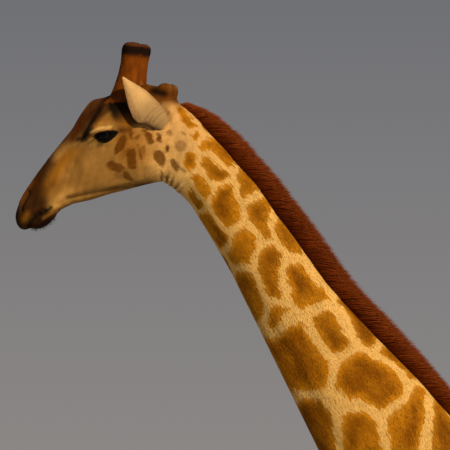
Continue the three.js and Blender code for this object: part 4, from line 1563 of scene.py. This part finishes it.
def eye_material():
    """A nearly black, wet eye with a faint brown iris."""
    n = Nodes("eye")
    facing = n.read("iris", "Fac")
    place = n.add("ShaderNodeNewGeometry").outputs["Position"]
    flecks = n.noise(place, (400.0, 400.0, 400.0))
    iris = n.mix(flecks, paint(10, 6, 4), paint(20, 12, 7))
    colour = n.mix(n.spread(facing, *IRIS_EDGE), paint(8, 5, 4), iris)
    colour = n.mix(n.spread(facing, *PUPIL_EDGE), colour, paint(3, 3, 4))
    return n.finish(colour, 0.12, Specular_IOR_Level=0.13)


def hoof_material():
    """Dark horn with growth rings and a worn, dusty lower edge."""
    n = Nodes("hoof")
    place = n.add("ShaderNodeNewGeometry").outputs["Position"]
    rings = n.noise(place, (12.0, 12.0, 260.0))
    grit = n.noise(place, (120.0, 120.0, 40.0), 4.0)
    height = n.add("ShaderNodeSeparateXYZ", {0: place}).outputs["Z"]
    colour = n.mix(rings, paint(52, 42, 34), paint(88, 74, 60))
    colour = n.mix(n.spread(height, 0.0, 0.03, 0.55, 0.0), colour, paint(128, 112, 92))
    relief = n.math("ADD", rings, n.math("MULTIPLY", grit, 0.5))
    return n.finish(colour, n.spread(grit, 0.3, 0.7, 0.42, 0.62), relief, distance=0.002, strength=0.6)


def set_material(piece, material):
    piece.data.materials.clear()
    piece.data.materials.append(material)


HAIRS = [  # material, its pieces, and the colours of dark strands, light strands, roots and tips
    ("mane_hair", [mane], (98, 36, 3), (124, 54, 8), (90, 40, 6), (142, 70, 24)),
    ("tail_hair", [tail_hair], (14, 11, 10), (44, 32, 24), (60, 36, 14), (34, 26, 20)),
    ("dark_hair", [lashes, whiskers], (14, 9, 7), (30, 18, 12), (14, 9, 7), (34, 22, 14)),
    ("ear_hair", [ear_fringe], (196, 160, 108), (232, 204, 156), (150, 108, 64), (240, 216, 172)),
]
for name, pieces, *colours in HAIRS:
    hair_finish = hair_material(name, *(paint(*colour) for colour in colours))
    for piece in pieces:
        set_material(piece, hair_finish)
set_material(skin, coat_material("skin", hair=False))
coat_finish = coat_material("coat", hair=True)
for piece in coat:
    set_material(piece, coat_finish)
eye_finish = eye_material()
for piece, look in eyes:
    off = unit(points_of(piece.data) - points_of(piece.data).mean(0))
    add_numbers(piece.data, "iris", (off @ look)[:, None])
    set_material(piece, eye_finish)
hoof_finish = hoof_material()
for piece in hooves:
    set_material(piece, hoof_finish)

# ---- Camera

TARGET = Vector((-0.937, 0.0, 4.204))
VIEW_AZIMUTH = math.radians(14)
VIEW_ELEVATION = math.radians(-2)
VIEW_DISTANCE = 32.0
VIEW_WIDTH = 1.6425  # what the frame takes in at the animal


def make_camera():
    """A long lens at the animal's left, a little behind it and looking slightly upwards."""
    camera = bpy.data.objects.new("camera", bpy.data.cameras.new("camera"))
    bpy.context.scene.collection.objects.link(camera)
    level = math.cos(VIEW_ELEVATION)
    back = Vector((math.sin(VIEW_AZIMUTH) * level, -math.cos(VIEW_AZIMUTH) * level, math.sin(VIEW_ELEVATION)))
    camera.location = TARGET + back * VIEW_DISTANCE
    camera.rotation_mode = "QUATERNION"
    camera.rotation_quaternion = (-back).to_track_quat("-Z", "Y")
    camera.data.sensor_width = 36
    camera.data.lens = camera.data.sensor_width * VIEW_DISTANCE / VIEW_WIDTH
    camera.data.clip_end = 200
    bpy.context.scene.camera = camera


make_camera()

# ---- A plain pale floor and soft studio light

FLOOR = 40  # half the floor's length and width
ROOM_LOW = paint(147, 142, 139)  # the room's colour at the level of the horizon
ROOM_HIGH = paint(112, 113, 117)  # and just above it


def make_floor():
    """A plain pale floor, which the camera's own view doesn't reach."""
    corners = [(-FLOOR, -FLOOR, 0), (FLOOR, -FLOOR, 0), (FLOOR, FLOOR, 0), (-FLOOR, FLOOR, 0)]
    floor = mesh_piece("floor", corners, [(0, 1, 2, 3)])
    n = Nodes("floor")
    place = n.add("ShaderNodeNewGeometry").outputs["Position"]
    colour = n.mix(n.noise(place, (0.6, 0.6, 0.6)), (0.42, 0.42, 0.42), (0.47, 0.47, 0.47))
    set_material(floor, n.finish(colour, 0.9))


def make_light(name, towards, energy, colour, angle):
    """A sun in the given direction, as wide as the angle in degrees."""
    light = bpy.data.objects.new(name, bpy.data.lights.new(name, "SUN"))
    light.data.energy = energy
    light.data.angle = math.radians(angle)
    light.data.color = colour
    light.rotation_mode = "QUATERNION"
    light.rotation_quaternion = (-Vector(towards)).to_track_quat("-Z", "Y")
    bpy.context.scene.collection.objects.link(light)


def make_lights():
    """A warm key from behind the camera's right shoulder, a weak fill on the far side, and a grey room."""
    make_light("key", (0.60, -0.65, 0.46), 3.6, (1.0, 0.84, 0.62), 4)
    make_light("fill", (-0.35, 0.90, 0.30), 0.8, (1.0, 0.94, 0.86), 50)
    n = Nodes("room", bpy.data.worlds)
    way = n.add("ShaderNodeTexCoord").outputs["Generated"]
    height = n.add("ShaderNodeSeparateXYZ", {0: way}).outputs["Z"]
    share = n.add("ShaderNodeMapRange", {"Value": height, "From Min": -0.01, "From Max": 0.06}).outputs[0]
    n.join(n.mix(share, ROOM_LOW, ROOM_HIGH), n.tree.nodes["Background"].inputs["Color"])
    bpy.context.scene.world = n.owner
    bpy.context.scene.view_settings.view_transform = "Standard"


make_floor()
make_lights()
